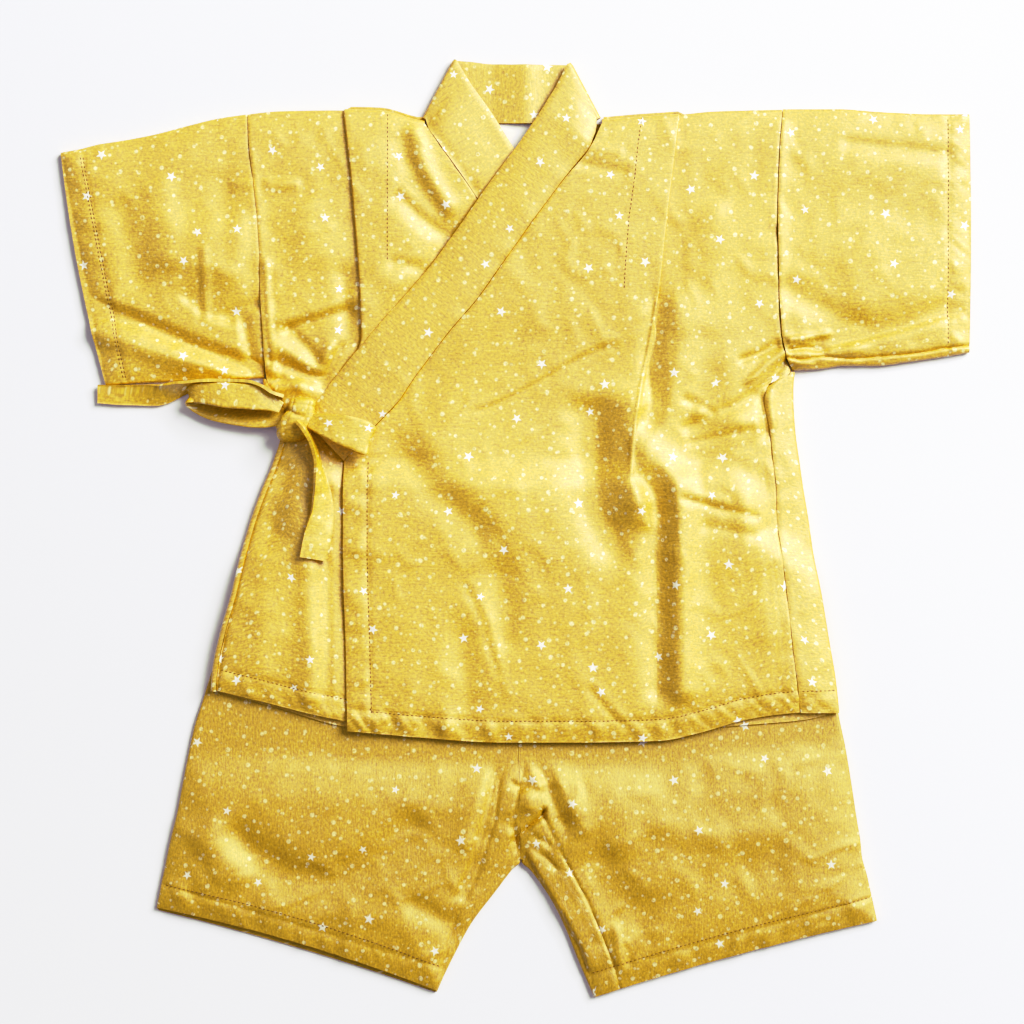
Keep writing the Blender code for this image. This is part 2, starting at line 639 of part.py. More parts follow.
def tuck_span(fold, stitch, inward):
    # from a little past the fold on one side to a little past the stitches on the other
    low, high = (STITCH_MARGIN, FOLD_MARGIN) if inward < 0 else (FOLD_MARGIN, STITCH_MARGIN)
    return min(fold, stitch) - low, max(fold, stitch) + high


def left_front_columns(row):
    # from the collar's seam, over the tuck, to the armhole
    fold, stitch = row.fold_right, row.stitch_right
    tuck, rises = tuck_columns(fold, stitch, -1)
    near, far = tuck_span(fold, stitch, -1)
    upper = [*np.linspace(row.front, near, 7), *np.linspace(near, tuck[0], 4)[1:3]]
    lower = [0.5 * (far + tuck[-1]), *np.linspace(far, row.seam_right, 9)]
    rise = [1.0] * len(upper) + rises + [0.0] * len(lower)
    return np.array(upper + tuck + lower), np.array(rise)


def right_front_columns(row):
    # from the armhole, over the tuck, to the collar's seam
    fold, stitch = row.fold_left, row.stitch_left
    tuck, rises = tuck_columns(fold, stitch, 1)
    near, far = tuck_span(fold, stitch, 1)
    lower = [*np.linspace(row.seam_left, near, 6), 0.5 * (near + tuck[-1])]
    upper = [0.5 * (tuck[0] + far), *np.linspace(far, row.hidden, 10)]
    rise = [0.0] * len(lower) + rises[::-1] + [1.0] * len(upper)
    return np.array(lower + tuck[::-1] + upper), np.array(rise)


def row_y(xs, index, hem):
    # y along one row: it follows the shoulders above, the underarms and the hem below
    y = np.full(len(xs), float(SECTIONS[index].y))
    last = len(SECTIONS) - 1
    if index == 0:
        return height_of(SHOULDERS, xs) - EDGE
    if index < 3:
        return y + (height_of(SHOULDERS, xs) - SHOULDERS[1][1]) * (1.0 - index / 3.0)
    if index == UNDERARM_ROW:
        return height_of(UNDERARMS, xs)
    if index > last - 3:
        return y + (height_of(hem, xs) - SECTIONS[last].y) * (0.2, 0.55, 1.0)[index - last + 2]
    return y


def armhole(name, turned):
    # the armhole line from the underarm, where the back turns up, to the shoulder
    xs = [turned] + [float(getattr(row, name)) for row in SECTIONS[UNDERARM_ROW - 1::-1]]
    rows = range(UNDERARM_ROW, -1, -1)
    ys = [row_y(np.array([x]), i, HEM_BACK)[0] for x, i in zip(xs, rows)]
    return np.array(ys), np.array(xs)


SHOULDER_ARC = (0.0, 45.0)   # degrees up from the outermost point of the fold


def over_shoulder(top):
    # the quarter turn from a front's first row down to the shoulder seam
    middle = 0.5 + TURN + SEAM
    arc = []
    for angle in np.radians(SHOULDER_ARC):
        row = top.copy()
        outward = np.maximum(top[:, 2] - 0.5 - FOLDED, 0.0)
        row[:, 1] += np.cos(angle) * (TURN + outward)
        row[:, 2] = middle + np.sin(angle) * (top[:, 2] - middle)
        arc.append(row)
    return arc


def left_front_surface(x, y, rise):
    lift = rise * tuck_amount(y, LEFT_TUCK_END) * TUCK_RISE
    return jacket_floor(x, y) + left_front_height(x, y) + lift


def right_front_surface(x, y, rise):
    level = 1.0 - smooth_step((x - RIGHT_TUCK_LEVEL) / RIGHT_TUCK_FADE)
    lift = rise * tuck_amount(y, RIGHT_TUCK_END) * TUCK_RISE * level
    return jacket_floor(x, y) + right_front_height(x, y) + lift


def front_grid(tucked_columns, shared, fold_name, stitch_name, inward, surface, hem):
    # rows for each section: the tuck's own columns above, the shared ones below
    rows = []
    for index, section in enumerate(SECTIONS):
        fold = getattr(section, fold_name)
        stitch = getattr(section, stitch_name)
        xs, rise = tucked_columns(section)
        if index >= WRAP_ROW:
            xs = shared_columns(section)[shared]
        if index >= RAMP_ROW:
            rise = 1.0 - smooth_step((xs - fold) / (stitch - fold))
        xs[0] += SEAM
        xs[-1] -= SEAM
        y = row_y(xs, index, hem)
        z = surface(xs, y, rise)
        if index < RAMP_ROW:
            y, z = level_layers(xs, y, z, rise, tuck_span(fold, stitch, inward), surface)
        rows.append(np.stack([xs, y, z], 1))
    return np.array(over_shoulder(rows[0]) + rows)


def level_layers(xs, y, z, rise, span, surface):
    # the layers of a tuck lie straight and parallel between its two folds
    ends = np.array(span)
    end_y = np.interp(ends, np.sort(xs), y[np.argsort(xs)])
    low = np.interp(xs, ends, surface(ends, end_y, np.zeros(2)))
    high = np.interp(xs, ends, surface(ends, end_y, np.ones(2)))
    within = (xs > ends[0] - 0.01) & (xs < ends[1] + 0.01)
    return (np.where(within, np.interp(xs, ends, end_y), y),
            np.where(within, low + rise * (high - low), z))


def seam_normals(grid):
    # the first row's edge faces straight down on the row behind it
    normals = normals_of(grid)
    normals[0, :, 2] = 0.0
    normals[0] = unit(normals[0])
    return normals


def jacket_fronts():
    left = front_grid(left_front_columns, slice(SIDE_LEFT_COLUMNS, None), "fold_right",
                      "stitch_right", -1, left_front_surface, HEM_LEFT_FRONT)
    right = front_grid(right_front_columns, slice(None, -SIDE_RIGHT_COLUMNS), "fold_left",
                       "stitch_left", 1, right_front_surface, HEM_RIGHT_FRONT)
    solid("jacket_front_left", left, WALL, "cotton_jacket", normals=seam_normals(left))
    solid("jacket_front_right", right, WALL, "cotton_jacket", normals=seam_normals(right))


NECK_LEFT = -54.0
NECK_RIGHT = 53.0
NECK_DIP = [(-54, 242.2), (-42, 242), (-18, 241.7), (6, 241.4), (40, 242), (53, 242.2)]
SHOULDER_COLUMNS = 11
NECK_COLUMNS = 9
BACK_ARC = (-45.0, 0.0)
SIDE_ARC = (45.0, 0.0, -45.0)


def turn_centres(row):
    # where the back starts to turn up at each side
    return (min(row.edge_left + EDGE, row.seam_left - SEAM - 0.2),
            max(row.edge_right - EDGE, row.seam_right + SEAM + 0.2))


def back_columns(index):
    # the back's flat lower face from edge to edge
    row = SECTIONS[index]
    if index >= WRAP_ROW:
        xs = shared_columns(row)
    else:
        top = np.concatenate([
            np.linspace(SECTIONS[0].seam_left, NECK_LEFT, SHOULDER_COLUMNS + 1)[:-1],
            np.linspace(NECK_LEFT, NECK_RIGHT, NECK_COLUMNS + 1)[:-1],
            np.linspace(NECK_RIGHT, SECTIONS[0].seam_right, SHOULDER_COLUMNS + 1)])
        low = shared_columns(SECTIONS[WRAP_ROW])
        share = index / WRAP_ROW
        spread = ((top - top[0]) / (top[-1] - top[0]) * (1 - share)
                  + (low - low[0]) / (low[-1] - low[0]) * share)
        xs = row.seam_left + spread * (row.seam_right - row.seam_left)
    if index >= UNDERARM_ROW:
        xs[0], xs[-1] = turn_centres(row)
        xs[1] = 0.5 * (xs[0] + xs[2])
        return xs
    xs[0] += SEAM
    xs[-1] -= SEAM
    return xs


def side_turn(x, y, bottom, top, outward):
    # the rounded edge between the lower face at `bottom` and the upper face at `top`
    middle = bottom + TURN
    points = []
    for angle in np.radians(SIDE_ARC):
        up = (top - middle) if angle > 0 else TURN
        points.append((x + outward * TURN * np.cos(angle), y, middle + up * np.sin(angle)))
    return points


def jacket_back():
    rows = []
    for index, section in enumerate(SECTIONS):
        xs = back_columns(index)
        y = row_y(xs, index, HEM_BACK)
        if index == 0:
            neck = (xs > NECK_LEFT - 0.1) & (xs < NECK_RIGHT + 0.1)
            y = np.where(neck, height_of(NECK_DIP, xs), y)
        lower = np.stack([xs, y, jacket_floor(xs, y) + 0.5], 1)
        turn_left, turn_right = turn_centres(section)
        left_x = np.array([section.seam_left - SEAM, turn_left])
        right_x = np.array([turn_right, 0.5 * (turn_right + section.seam_right + SEAM),
                            section.seam_right + SEAM])
        left_y = np.full(2, y[0])
        right_y = np.full(3, y[-1])
        left_z = right_front_surface(left_x, left_y, 0.0)
        right_z = left_front_surface(right_x, right_y, 0.0)
        left_arc = side_turn(left_x[1], left_y[1], lower[0, 2], left_z[1], -1)
        right_arc = side_turn(right_x[0], right_y[0], lower[-1, 2], right_z[0], 1)[::-1]
        rows.append(np.vstack([np.stack([left_x, left_y, left_z], 1), left_arc, lower,
                               right_arc, np.stack([right_x, right_y, right_z], 1)]))
    first = 2 + len(SIDE_ARC)
    last = rows[0].shape[0] - 3 - len(SIDE_ARC)
    grid = np.array([shoulder_row(rows[0], angle) for angle in BACK_ARC[::-1]] + rows)
    active = np.zeros((grid.shape[0] - 1, grid.shape[1] - 1), bool)
    active[:, first:last - 1] = True
    active[:len(BACK_ARC), first + SHOULDER_COLUMNS:first + SHOULDER_COLUMNS + NECK_COLUMNS] = False
    active[len(BACK_ARC) + UNDERARM_ROW:] = True
    normals = normals_of(grid)
    normals[0, :, 2] = 0.0
    solid("jacket_back", grid, WALL, "cotton_jacket", active, normals=unit(normals))


def shoulder_row(top, angle):
    # the quarter turn from the back's first row up to the shoulder seam. It reaches as
    # far out as the front's tuck does.
    row = top.copy()
    lift = np.where((top[:, 0] > SECTIONS[0].fold_left) & (top[:, 0] < SECTIONS[0].fold_right),
                    TUCK_RISE, 0.0)
    turn = np.radians(angle)
    row[:, 1] += np.cos(turn) * (TURN + lift)
    row[:, 2] = 0.5 + TURN - SEAM + np.sin(turn) * (TURN - SEAM)
    return row


# ---------------------------------------------------------------- sleeves and legs

RING_ARC = (45.0, 0.0, -45.0)


def ring_rows(table, count, top_count, low_count, surface, start, end, bend):
    # Flattened rings from the table: over the top from the upper edge to the lower one,
    # round it, back underneath and round the upper edge. start and end say how far the
    # cloth stops inside each edge, bend moves a point sideways.
    row = rows_of(table, count)
    rings = []
    for i in range(count):
        upper = np.array([row["upper_x"][i], row["upper_y"][i]])
        lower = np.array([row["lower_x"][i], row["lower_y"][i]])
        length = np.linalg.norm(lower - upper)
        along = (lower - upper) / length
        inset = start[i], length - end[i]
        over = np.linspace(*inset, top_count)
        under = np.linspace(*inset, low_count)[::-1]
        bow = row["bow"][i]

        def spot(reach):
            share = reach / length
            flat = upper + along * reach[:, None] if np.ndim(reach) else upper + along * reach
            side = np.array([along[1], -along[0]])
            flat = flat + np.multiply.outer(4 * bow * share * (1 - share), side)
            return bend(flat, i / (count - 1))

        top = spot(over)
        top_z = surface(top[:, 0], top[:, 1])
        low = spot(under)
        ring = [*np.column_stack([top, top_z])]
        for angle in np.radians(RING_ARC):
            flat = spot(np.array([inset[1] + TURN * np.cos(angle)]))[0]
            up = top_z[-1] - 0.5 - TURN if angle > 0 else TURN
            ring.append([*flat, 0.5 + TURN + up * np.sin(angle)])
        ring += [*np.column_stack([low, np.full(low_count, 0.5)])]
        for angle in np.radians(RING_ARC[::-1]):
            flat = spot(np.array([inset[0] - TURN * np.cos(angle)]))[0]
            up = top_z[0] - 0.5 - TURN if angle > 0 else TURN
            ring.append([*flat, 0.5 + TURN + up * np.sin(angle)])
        rings.append(ring)
    return np.array(rings, float)


SLEEVE_STATIONS = 9
SLEEVE_TOP = 13
SLEEVE_LOW = 8
UNDERARM_GAP = 0.5    # the sleeve stands a little further off where the underarm turns
UNDERARM_TOP = 106.0


def sleeve(name, table, seam_name, folds, side):
    # its end at the armhole follows the body's own armhole line
    turned = turn_centres(SECTIONS[UNDERARM_ROW])
    keys, seam = armhole(seam_name, turned[0] if side < 0 else turned[1])
    first = table[0]

    def bend(flat, share):
        straight = np.interp(flat[:, 1], [first.lower_y, first.upper_y],
                             [first.lower_x, first.upper_x])
        line = np.interp(flat[:, 1], keys, seam)
        moved = flat.copy()
        gap = SEAM + UNDERARM_GAP * smooth_step((UNDERARM_TOP - flat[:, 1]) / 10.0)
        moved[:, 0] += ((line - straight) * (1.0 - share) + side * gap) * (1.0 - share) ** 2
        return moved

    edges = np.full(SLEEVE_STATIONS, EDGE)
    grid = ring_rows(table, SLEEVE_STATIONS, SLEEVE_TOP, SLEEVE_LOW,
                     lambda x, y: sleeve_height(x, y, folds), edges, edges, bend)
    solid(name, grid, WALL, "cotton_jacket", around=True)


LEG_STATIONS = 15
LEG_TOP = 12
LEG_LOW = 8


def leg(name, table, folds, side):
    share = np.linspace(0, len(table) - 1, LEG_STATIONS)
    closed = int(np.argmin(np.abs(share - CROTCH_ROW)))
    ends = np.where(np.arange(LEG_STATIONS) >= closed, EDGE + SEAM, SEAM)
    starts = np.full(LEG_STATIONS, EDGE)
    grid = ring_rows(table, LEG_STATIONS, LEG_TOP, LEG_LOW,
                     lambda x, y: leg_height(x, y, folds), starts, ends,
                     lambda flat, share: flat)
    grid[0, :, 1] -= SEAM
    active = np.ones((LEG_STATIONS - 1, grid.shape[1]), bool)
    active[:closed, LEG_TOP - 1:LEG_TOP + len(RING_ARC)] = False
    normals = normals_of(grid, True)
    normals[0, :, 1] = 0.0
    solid(name, grid, WALL, "cotton_shorts", active, True, unit(normals))


WAIST_TOP = 31
WAIST_LOW = 16
WAIST_ROWS = 2


def waistband():
    # a flat ring of gathered cloth, its upper face in small waves over the elastic
    middle = 0.5 * (WAIST_LEFT + WAIST_RIGHT)
    table = [Cross(WAIST_LEFT, WAIST_Y - depth, WAIST_RIGHT, WAIST_Y - depth, 0)
             for depth in (0.0, WAIST_DEPTH - SEAM)]

    def waves(x, y):
        phase = (x - middle) / (WAIST_RIGHT - WAIST_LEFT - 2 * EDGE) * WAIST_TOP * np.pi
        return 0.5 + FOLDED + 0.45 + WAIST_WAVE_HEIGHT * np.cos(phase * 0.975)

    edges = np.full(WAIST_ROWS, EDGE)
    grid = ring_rows(table, WAIST_ROWS, WAIST_TOP, WAIST_LOW, waves, edges, edges,
                     lambda flat, share: flat)
    solid("shorts_waistband", grid, WALL, "cotton_shorts", around=True)


# ---------------------------------------------------------------- collar, label, ties

BAND_COLUMNS = 5
BAND_SEAM = 0.25      # the doubled band stands a little further off its seam
FOLD_ARC = (60.0, 30.0, 0.0, -30.0, -60.0)


def sewn_rows(edges, seam_name):
    # the band beside a front: its seam runs through the front's own row ends
    rows = []
    for index, edge in enumerate(edges, start=1):
        x = getattr(SECTIONS[index], seam_name)
        y = row_y(np.array([float(x)]), index, HEM_BACK)[0]
        rows.append(Band(edge.x, edge.y, x, y, edge.lift))
    return rows


def band_rows(rows, surface, crown):
    # from the free edge to the seam, a little rounded between them. The seam lies as
    # high as the front it is sewn to, and comes level with the free edge at the neck.
    values = np.array(rows, float)
    halves = 0.5 * (values[:-1] + values[1:])
    values = np.insert(values, np.arange(1, len(values)), halves, axis=0)
    free_x, free_y, seam_x, seam_y, free_z = values.T
    sewn = np.zeros(len(values)) if surface is None else np.ones(len(values))
    seam_z = free_z
    if surface is not None:
        seam_z = np.maximum(surface(seam_x, seam_y), free_z)
        sewn[:3] = (0.0, 0.35, 0.8)
    seam_z = seam_z * sewn + free_z * (1 - sewn)
    share = np.linspace(0, 1, BAND_COLUMNS)[None, :]
    ends = np.array([[free_x, free_y, free_z], [seam_x, seam_y, seam_z]]).transpose(0, 2, 1)
    grid = ends[0][:, None] * (1 - share[..., None]) + ends[1][:, None] * share[..., None]
    grid[:, :, 2] += crown * np.sin(np.pi * share) * sewn[:, None]
    grid[:, -1] += unit(grid[:, 0] - grid[:, -1]) * BAND_SEAM
    return grid


def neck_fold(upper, lower, outward):
    # half a turn round the fold line from the upper layer to the lower one
    middle = 0.5 * (upper[:, 2] + lower[:, 2])
    radius = 0.5 * (upper[:, 2] - lower[:, 2])
    rows = []
    for angle in np.radians(FOLD_ARC):
        row = upper.copy()
        row[:, :2] += outward * (radius * np.cos(angle))[:, None]
        row[:, 2] = middle + radius * np.sin(angle)
        rows.append(row)
    return np.array(rows)


def fold_outward(row, side):
    run = unit(np.array([row.seam_x - row.free_x, row.seam_y - row.free_y]))
    return np.array([-run[1], run[0]]) * side


def collar():
    over = band_rows(NECK_OVER[::-1] + sewn_rows(COLLAR_OVER, "front"),
                     lambda x, y: left_front_surface(x, y, 1.0), 0.8)
    under = band_rows(NECK_UNDER[::-1] + sewn_rows(COLLAR_UNDER, "hidden"),
                      lambda x, y: right_front_surface(x, y, 1.0), 0.4)
    back = band_rows(COLLAR_BACK, None, 0.0)
    right = neck_fold(over[0], back[0], fold_outward(NECK_OVER[-1], 1))
    left = neck_fold(under[0], back[-1], fold_outward(NECK_UNDER[-1], -1))
    grid = np.concatenate([over[::-1], right, back, left[::-1], under])
    solid("collar_band", grid, BAND_WALL, "cotton_jacket")


def label():
    x, y = np.meshgrid(np.linspace(LABEL_LEFT, LABEL_RIGHT, 3),
                       np.linspace(LABEL_TOP, LABEL_BOTTOM, 3))
    grid = np.stack([x, y, np.full_like(x, 0.5 + LAYER)], 2)
    solid("neck_label", grid, WALL, "label_tape")


TIE_COLUMNS = 4
LEFT_LOOP_BROADSIDE = (0.04, 1.0, 0.08)
RIGHT_LOOP_BROADSIDE = (0.30, 0.95, 0.0)


def strip(name, table, count, broadside=None):
    # a flat tie along its own route. Its width is level where broadside is not given,
    # and leans as the rows say; a loop's width keeps near its broadside all the way.
    row = rows_of(table, count)
    path = np.stack([row["x"], row["y"], row["z"]], 1)
    along = unit(np.gradient(path, axis=0))
    if broadside is None:
        side = unit(np.cross(along, [0.0, 0.0, 1.0]))
    else:
        wide = unit(np.array(broadside))
        side = unit(wide - along * (along @ wide)[:, None])
    up = np.cross(side, along)
    lean = np.radians(row["lean"])[:, None]
    across = side * np.cos(lean) + up * np.sin(lean)
    reach = np.linspace(-0.5, 0.5, TIE_COLUMNS)[None, :, None] * row["width"][:, None, None]
    grid = path[:, None, :] + across[:, None, :] * reach
    solid(name, grid, TIE_WALL, "cotton_ties")


KNOT_SIDES = 14
KNOT_ROUND = 0.75


def knot():
    # rings of rounded boxes down the pad, closed by a point at each end
    row = rows_of(TIE_KNOT, 11)
    turn = np.linspace(0, 2 * np.pi, KNOT_SIDES, endpoint=False)
    c, s = np.cos(turn), np.sin(turn)
    across = np.sign(c) * np.abs(c) ** KNOT_ROUND
    up = np.sign(s) * np.abs(s) ** KNOT_ROUND
    rings = np.stack([row["x"][:, None] + row["half_width"][:, None] * across,
                      np.repeat(row["y"][:, None], KNOT_SIDES, 1),
                      row["z"][:, None] + row["half_height"][:, None] * up], 2)
    number = np.arange(rings.shape[0] * KNOT_SIDES).reshape(-1, KNOT_SIDES)
    a, b = number[:-1], np.roll(number[:-1], -1, 1)
    d, c2 = number[1:], np.roll(number[1:], -1, 1)
    triangles = [np.stack([a, b, c2], -1).reshape(-1, 3), np.stack([a, c2, d], -1).reshape(-1, 3)]
    for ring, centre in ((number[0], number.size), (number[-1], number.size + 1)):
        triangles.append(np.stack([ring, np.roll(ring, -1), np.full(KNOT_SIDES, centre)], 1))
    ends = np.stack([rings[0].mean(0), rings[-1].mean(0)])
    place("tie_knot", np.vstack([rings.reshape(-1, 3), ends]), np.vstack(triangles), "cotton_ties")


jacket_back()
jacket_fronts()
sleeve("sleeve_right", SLEEVE_RIGHT, "seam_left", SLEEVE_RIGHT_FOLDS, -1)
sleeve("sleeve_left", SLEEVE_LEFT, "seam_right", SLEEVE_LEFT_FOLDS, 1)
collar()
label()
leg("shorts_leg_right", LEG_RIGHT, LEG_RIGHT_FOLDS, -1)
leg("shorts_leg_left", LEG_LEFT, LEG_LEFT_FOLDS, 1)
waistband()
strip("tie_long_end", TIE_LONG_END, 22)
strip("tie_loop_left", TIE_LEFT_LOOP, 26, LEFT_LOOP_BROADSIDE)
strip("tie_loop_right", TIE_RIGHT_LOOP, 22, RIGHT_LOOP_BROADSIDE)
strip("tie_short_end", TIE_SHORT_END, 20)
knot()
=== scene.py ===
import math
import bpy
import numpy as np
from mathutils.bvhtree import BVHTree
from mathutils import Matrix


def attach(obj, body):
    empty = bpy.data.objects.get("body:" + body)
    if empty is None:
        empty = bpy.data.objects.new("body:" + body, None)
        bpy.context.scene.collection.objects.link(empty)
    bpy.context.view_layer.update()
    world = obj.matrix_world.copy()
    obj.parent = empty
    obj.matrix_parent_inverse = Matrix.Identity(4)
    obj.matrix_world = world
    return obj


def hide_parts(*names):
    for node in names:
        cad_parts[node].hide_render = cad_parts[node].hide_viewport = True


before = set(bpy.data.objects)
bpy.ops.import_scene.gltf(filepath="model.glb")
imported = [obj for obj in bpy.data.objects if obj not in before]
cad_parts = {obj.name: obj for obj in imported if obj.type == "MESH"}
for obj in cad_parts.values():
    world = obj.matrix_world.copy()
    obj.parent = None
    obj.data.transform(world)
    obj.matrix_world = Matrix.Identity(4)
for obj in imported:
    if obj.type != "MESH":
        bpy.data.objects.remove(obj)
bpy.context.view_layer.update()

mm = 0.001
print("frame loaded")


class Wire:
    # a node's output socket, so that shader maths can be written as an expression
    def __init__(self, tree, socket):
        self.tree = tree
        self.socket = socket

    def node(self, kind, settings, inputs, out=0):
        # another node in the same tree
        return addNode(self.tree, kind, settings, inputs, out)

    def maths(self, operation, *others):
        # the operation on this value and the others, in that order
        return self.node("ShaderNodeMath", {"operation": operation}, dict(enumerate((self,) + others)))

    def swapped(self, operation, other):
        # the operation with this value second, for 1 - wire and its like
        return self.node("ShaderNodeMath", {"operation": operation}, {0: other, 1: self})

    def vector(self, operation, other=(0, 0, 0), out=0):
        # the operation on two vectors
        return self.node("ShaderNodeVectorMath", {"operation": operation}, {0: self, 1: other}, out)

    def __add__(self, o): return self.maths("ADD", o)
    def __radd__(self, o): return self.maths("ADD", o)
    def __sub__(self, o): return self.maths("SUBTRACT", o)
    def __rsub__(self, o): return self.swapped("SUBTRACT", o)
    def __mul__(self, o): return self.maths("MULTIPLY", o)
    def __rmul__(self, o): return self.maths("MULTIPLY", o)
    def __truediv__(self, o): return self.maths("DIVIDE", o)
    def __pow__(self, o): return self.maths("POWER", o)


def feed(tree, node, inputs):
    # a link for each wire, a plain value for anything else
    for name, value in inputs.items():
        if isinstance(value, Wire):
            tree.links.new(value.socket, node.inputs[name])
        else:
            node.inputs[name].default_value = value


def addNode(tree, kind, settings, inputs, out=0):
    # a node of this type: its settings first, then the values or links of its sockets
    node = tree.nodes.new(kind)
    for name, value in settings.items():
        setattr(node, name, value)
    feed(tree, node, inputs)
    return Wire(tree, node.outputs[out])


def parts(wire):
    # every output of the node that a vector goes through to be taken apart
    first = wire.node("ShaderNodeSeparateXYZ", {}, {0: wire})
    return [Wire(wire.tree, socket) for socket in first.socket.node.outputs]


def step(value, low, high):
    # 0 below low, 1 above high, smooth between
    return value.node("ShaderNodeMapRange", {"interpolation_type": "SMOOTHSTEP"},
                      {"Value": value, "From Min": low, "From Max": high})


def mixColour(share, first, second, blend="MIX"):
    # first x (1 - share) + second x share, or by MULTIPLY first x second in place of second
    first, second = [(*v, 1) if isinstance(v, tuple) else v for v in (first, second)]
    wire = next(v for v in (share, first, second) if isinstance(v, Wire))
    return wire.node("ShaderNodeMix", {"data_type": "RGBA", "blend_type": blend},
                     {0: share, 6: first, 7: second}, 2)


def noise(place, x, y, detail=3.0, rough=0.5):
    # x and y are the number of waves in a metre
    return place.node("ShaderNodeTexNoise", {"noise_dimensions": "2D"},
                      {"Vector": place.vector("MULTIPLY", (x, y, 1.0)), "Scale": 1.0,
                       "Detail": detail, "Roughness": rough})


def scatter(place, spacing, shift):
    # one printed motif near the middle of each cell: the way to it, how far it is and its
    # own three chances
    moved = place.vector("ADD", (shift, shift * 0.37, 0))
    centre = place.node("ShaderNodeTexVoronoi", {"voronoi_dimensions": "2D", "feature": "F1"},
                        {"Vector": moved, "Scale": 1.0 / spacing, "Randomness": 0.88}, "Position")
    away = moved.vector("SUBTRACT", centre)
    chance = Wire(place.tree, centre.socket.node.outputs["Color"])
    return away, away.vector("LENGTH", out="Value"), parts(chance)


def dots(place, spacing, shift, smallest, largest, kept):
    # round spots: 1 inside a radius that differs from spot to spot
    reach, chance = scatter(place, spacing, shift)[1:]
    size, there = chance[:2]
    radius = smallest + (largest - smallest) * size ** 2.0
    blur = 0.00030
    return (1.0 - step((reach - radius) / blur, -1.0, 1.0)) * step(there, 1.0 - kept, 1.0001 - kept)


def stars(place, spacing, shift, smallest, largest, kept):
    # five points: the angle is folded on to one half point, whose edge is a straight line
    # that leans by the sine and cosine in `lean`
    away, reach, (turn, there, size) = scatter(place, spacing, shift)
    x, y = parts(away)[:2]
    angle = y.maths("ARCTAN2", x) / (2 * math.pi) + turn
    fold = ((angle * 5.0).maths("FRACT") - 0.5).maths("ABSOLUTE") * (2 * math.pi / 5)
    radius = smallest + (largest - smallest) * size
    lean, blur = (0.350, 0.936), 0.00016
    edge = (reach * fold.maths("COSINE") - radius) * lean[0] + reach * fold.maths("SINE") * lean[1]
    return (1.0 - step(edge / blur, -1.0, 1.0)) * step(there, 1.0 - kept, 1.0001 - kept)


def shaderOf(name):
    # a new material, its tree and its Principled shader
    made = bpy.data.materials.new(name)
    made.use_nodes = True
    return made, made.node_tree, made.node_tree.nodes["Principled BSDF"]


def flatPlace(tree):
    # the cloth's own flat place, in metres
    return addNode(tree, "ShaderNodeUVMap", {"uv_map": "cloth"}, {})


cotton = {
    "light": (0.625, 0.380, 0.008),
    "deep": (0.505, 0.262, 0.003),
    "slub": (0.740, 0.505, 0.050),
    "print": (0.970, 0.860, 0.420),
    "speck": (0.900, 0.700, 0.160),
    "star": (1.0, 0.965, 0.84),
    # spacing, layout, smallest and largest radius in metres, share printed
    "stars": (0.0425, 5.41, 0.0026, 0.0034, 0.95),
    # the same for round spots, then their strength, their colour and whether they are rubbed
    "spots": [(0.0058, 3.19, 0.00036, 0.00056, 0.82, 0.42, "speck", False),
              (0.0092, 1.73, 0.00066, 0.00096, 0.88, 0.58, "print", True),
              (0.0128, 0.31, 0.00100, 0.00142, 0.90, 0.76, "print", True)],
    "rough": 0.45,
    "index": 2.15,         # how strongly the satin weave shines
    "thread": 0.00046,     # from one thread to the next
    "grain": 1.5,          # how much lighter and darker the yarns are
    # waves in a metre of the slubs and of the yarns, with slubs along the cloth's width
    # and along its length
    "across": ((150.0, 1150.0), (540.0, 640.0)),
    "down": ((1150.0, 150.0), (800.0, 540.0)),
}


def printedCotton(name, c, paintedShade, way, shine):
    # the cloth's own colour, lighter and darker by noise along its yarns, under the print:
    # each layer of dots and stars is mixed over it by its mask
    made, tree, shader = shaderOf(name)
    place = flatPlace(tree)
    (long, short), yarns = c[way]
    streak = noise(place, long, short, 3.0, 0.6)
    yarn = noise(place, *yarns, 2.0, 0.6)
    broad = noise(place, 9.0, 11.0, 3.0, 0.55)
    patch = noise(place, long * 0.4, short * 0.3, 2.0, 0.5)
    body = mixColour(step(broad, 0.36, 0.66), tuple(v * 0.94 for v in c["light"]), c["light"])
    body = mixColour(step(streak, 0.56, 0.32) * 0.34, body, c["deep"])
    body = mixColour(step(streak * 0.6 + patch * 0.4, 0.53, 0.72) * 0.34, body, c["slub"])
    rub = step(noise(place, 500.0, 500.0, 2.0), 0.20, 0.52)
    for *layout, strength, colour, rubbed in c["spots"]:
        share = dots(place, *layout) * strength
        body = mixColour(share * rub if rubbed else share, body, c[colour])
    star = stars(place, *c["stars"])
    body = mixColour(star * 0.93, body, c["star"])
    level = 1.0 + (yarn * 0.8 + streak * 0.2 - 0.5) * c["grain"] * (1.0 - 0.6 * star)
    # paintedShade multiplies the colour down: painted shade for a garment of this cloth that lies less
    # lit
    shade = mixColour(1.0, mixColour(1.0, body, paintedShade, "MULTIPLY"), level, "MULTIPLY")
    warp, weft = [(wire * (2 * math.pi / c["thread"])).maths("SINE") for wire in parts(place)[:2]]
    bump = addNode(tree, "ShaderNodeBump", {}, {"Height": warp * weft * 0.4 + streak * 2.0 + yarn * 2.0,
                                                "Distance": 0.00010, "Strength": 0.45})
    feed(tree, shader, {"Base Color": shade, "Normal": bump,
                        "Roughness": c["rough"] + 0.08 * (1.0 - streak) - 0.10 * star,
                        "IOR": c["index"], "Specular Tint": (*shine, 1)})
    return made


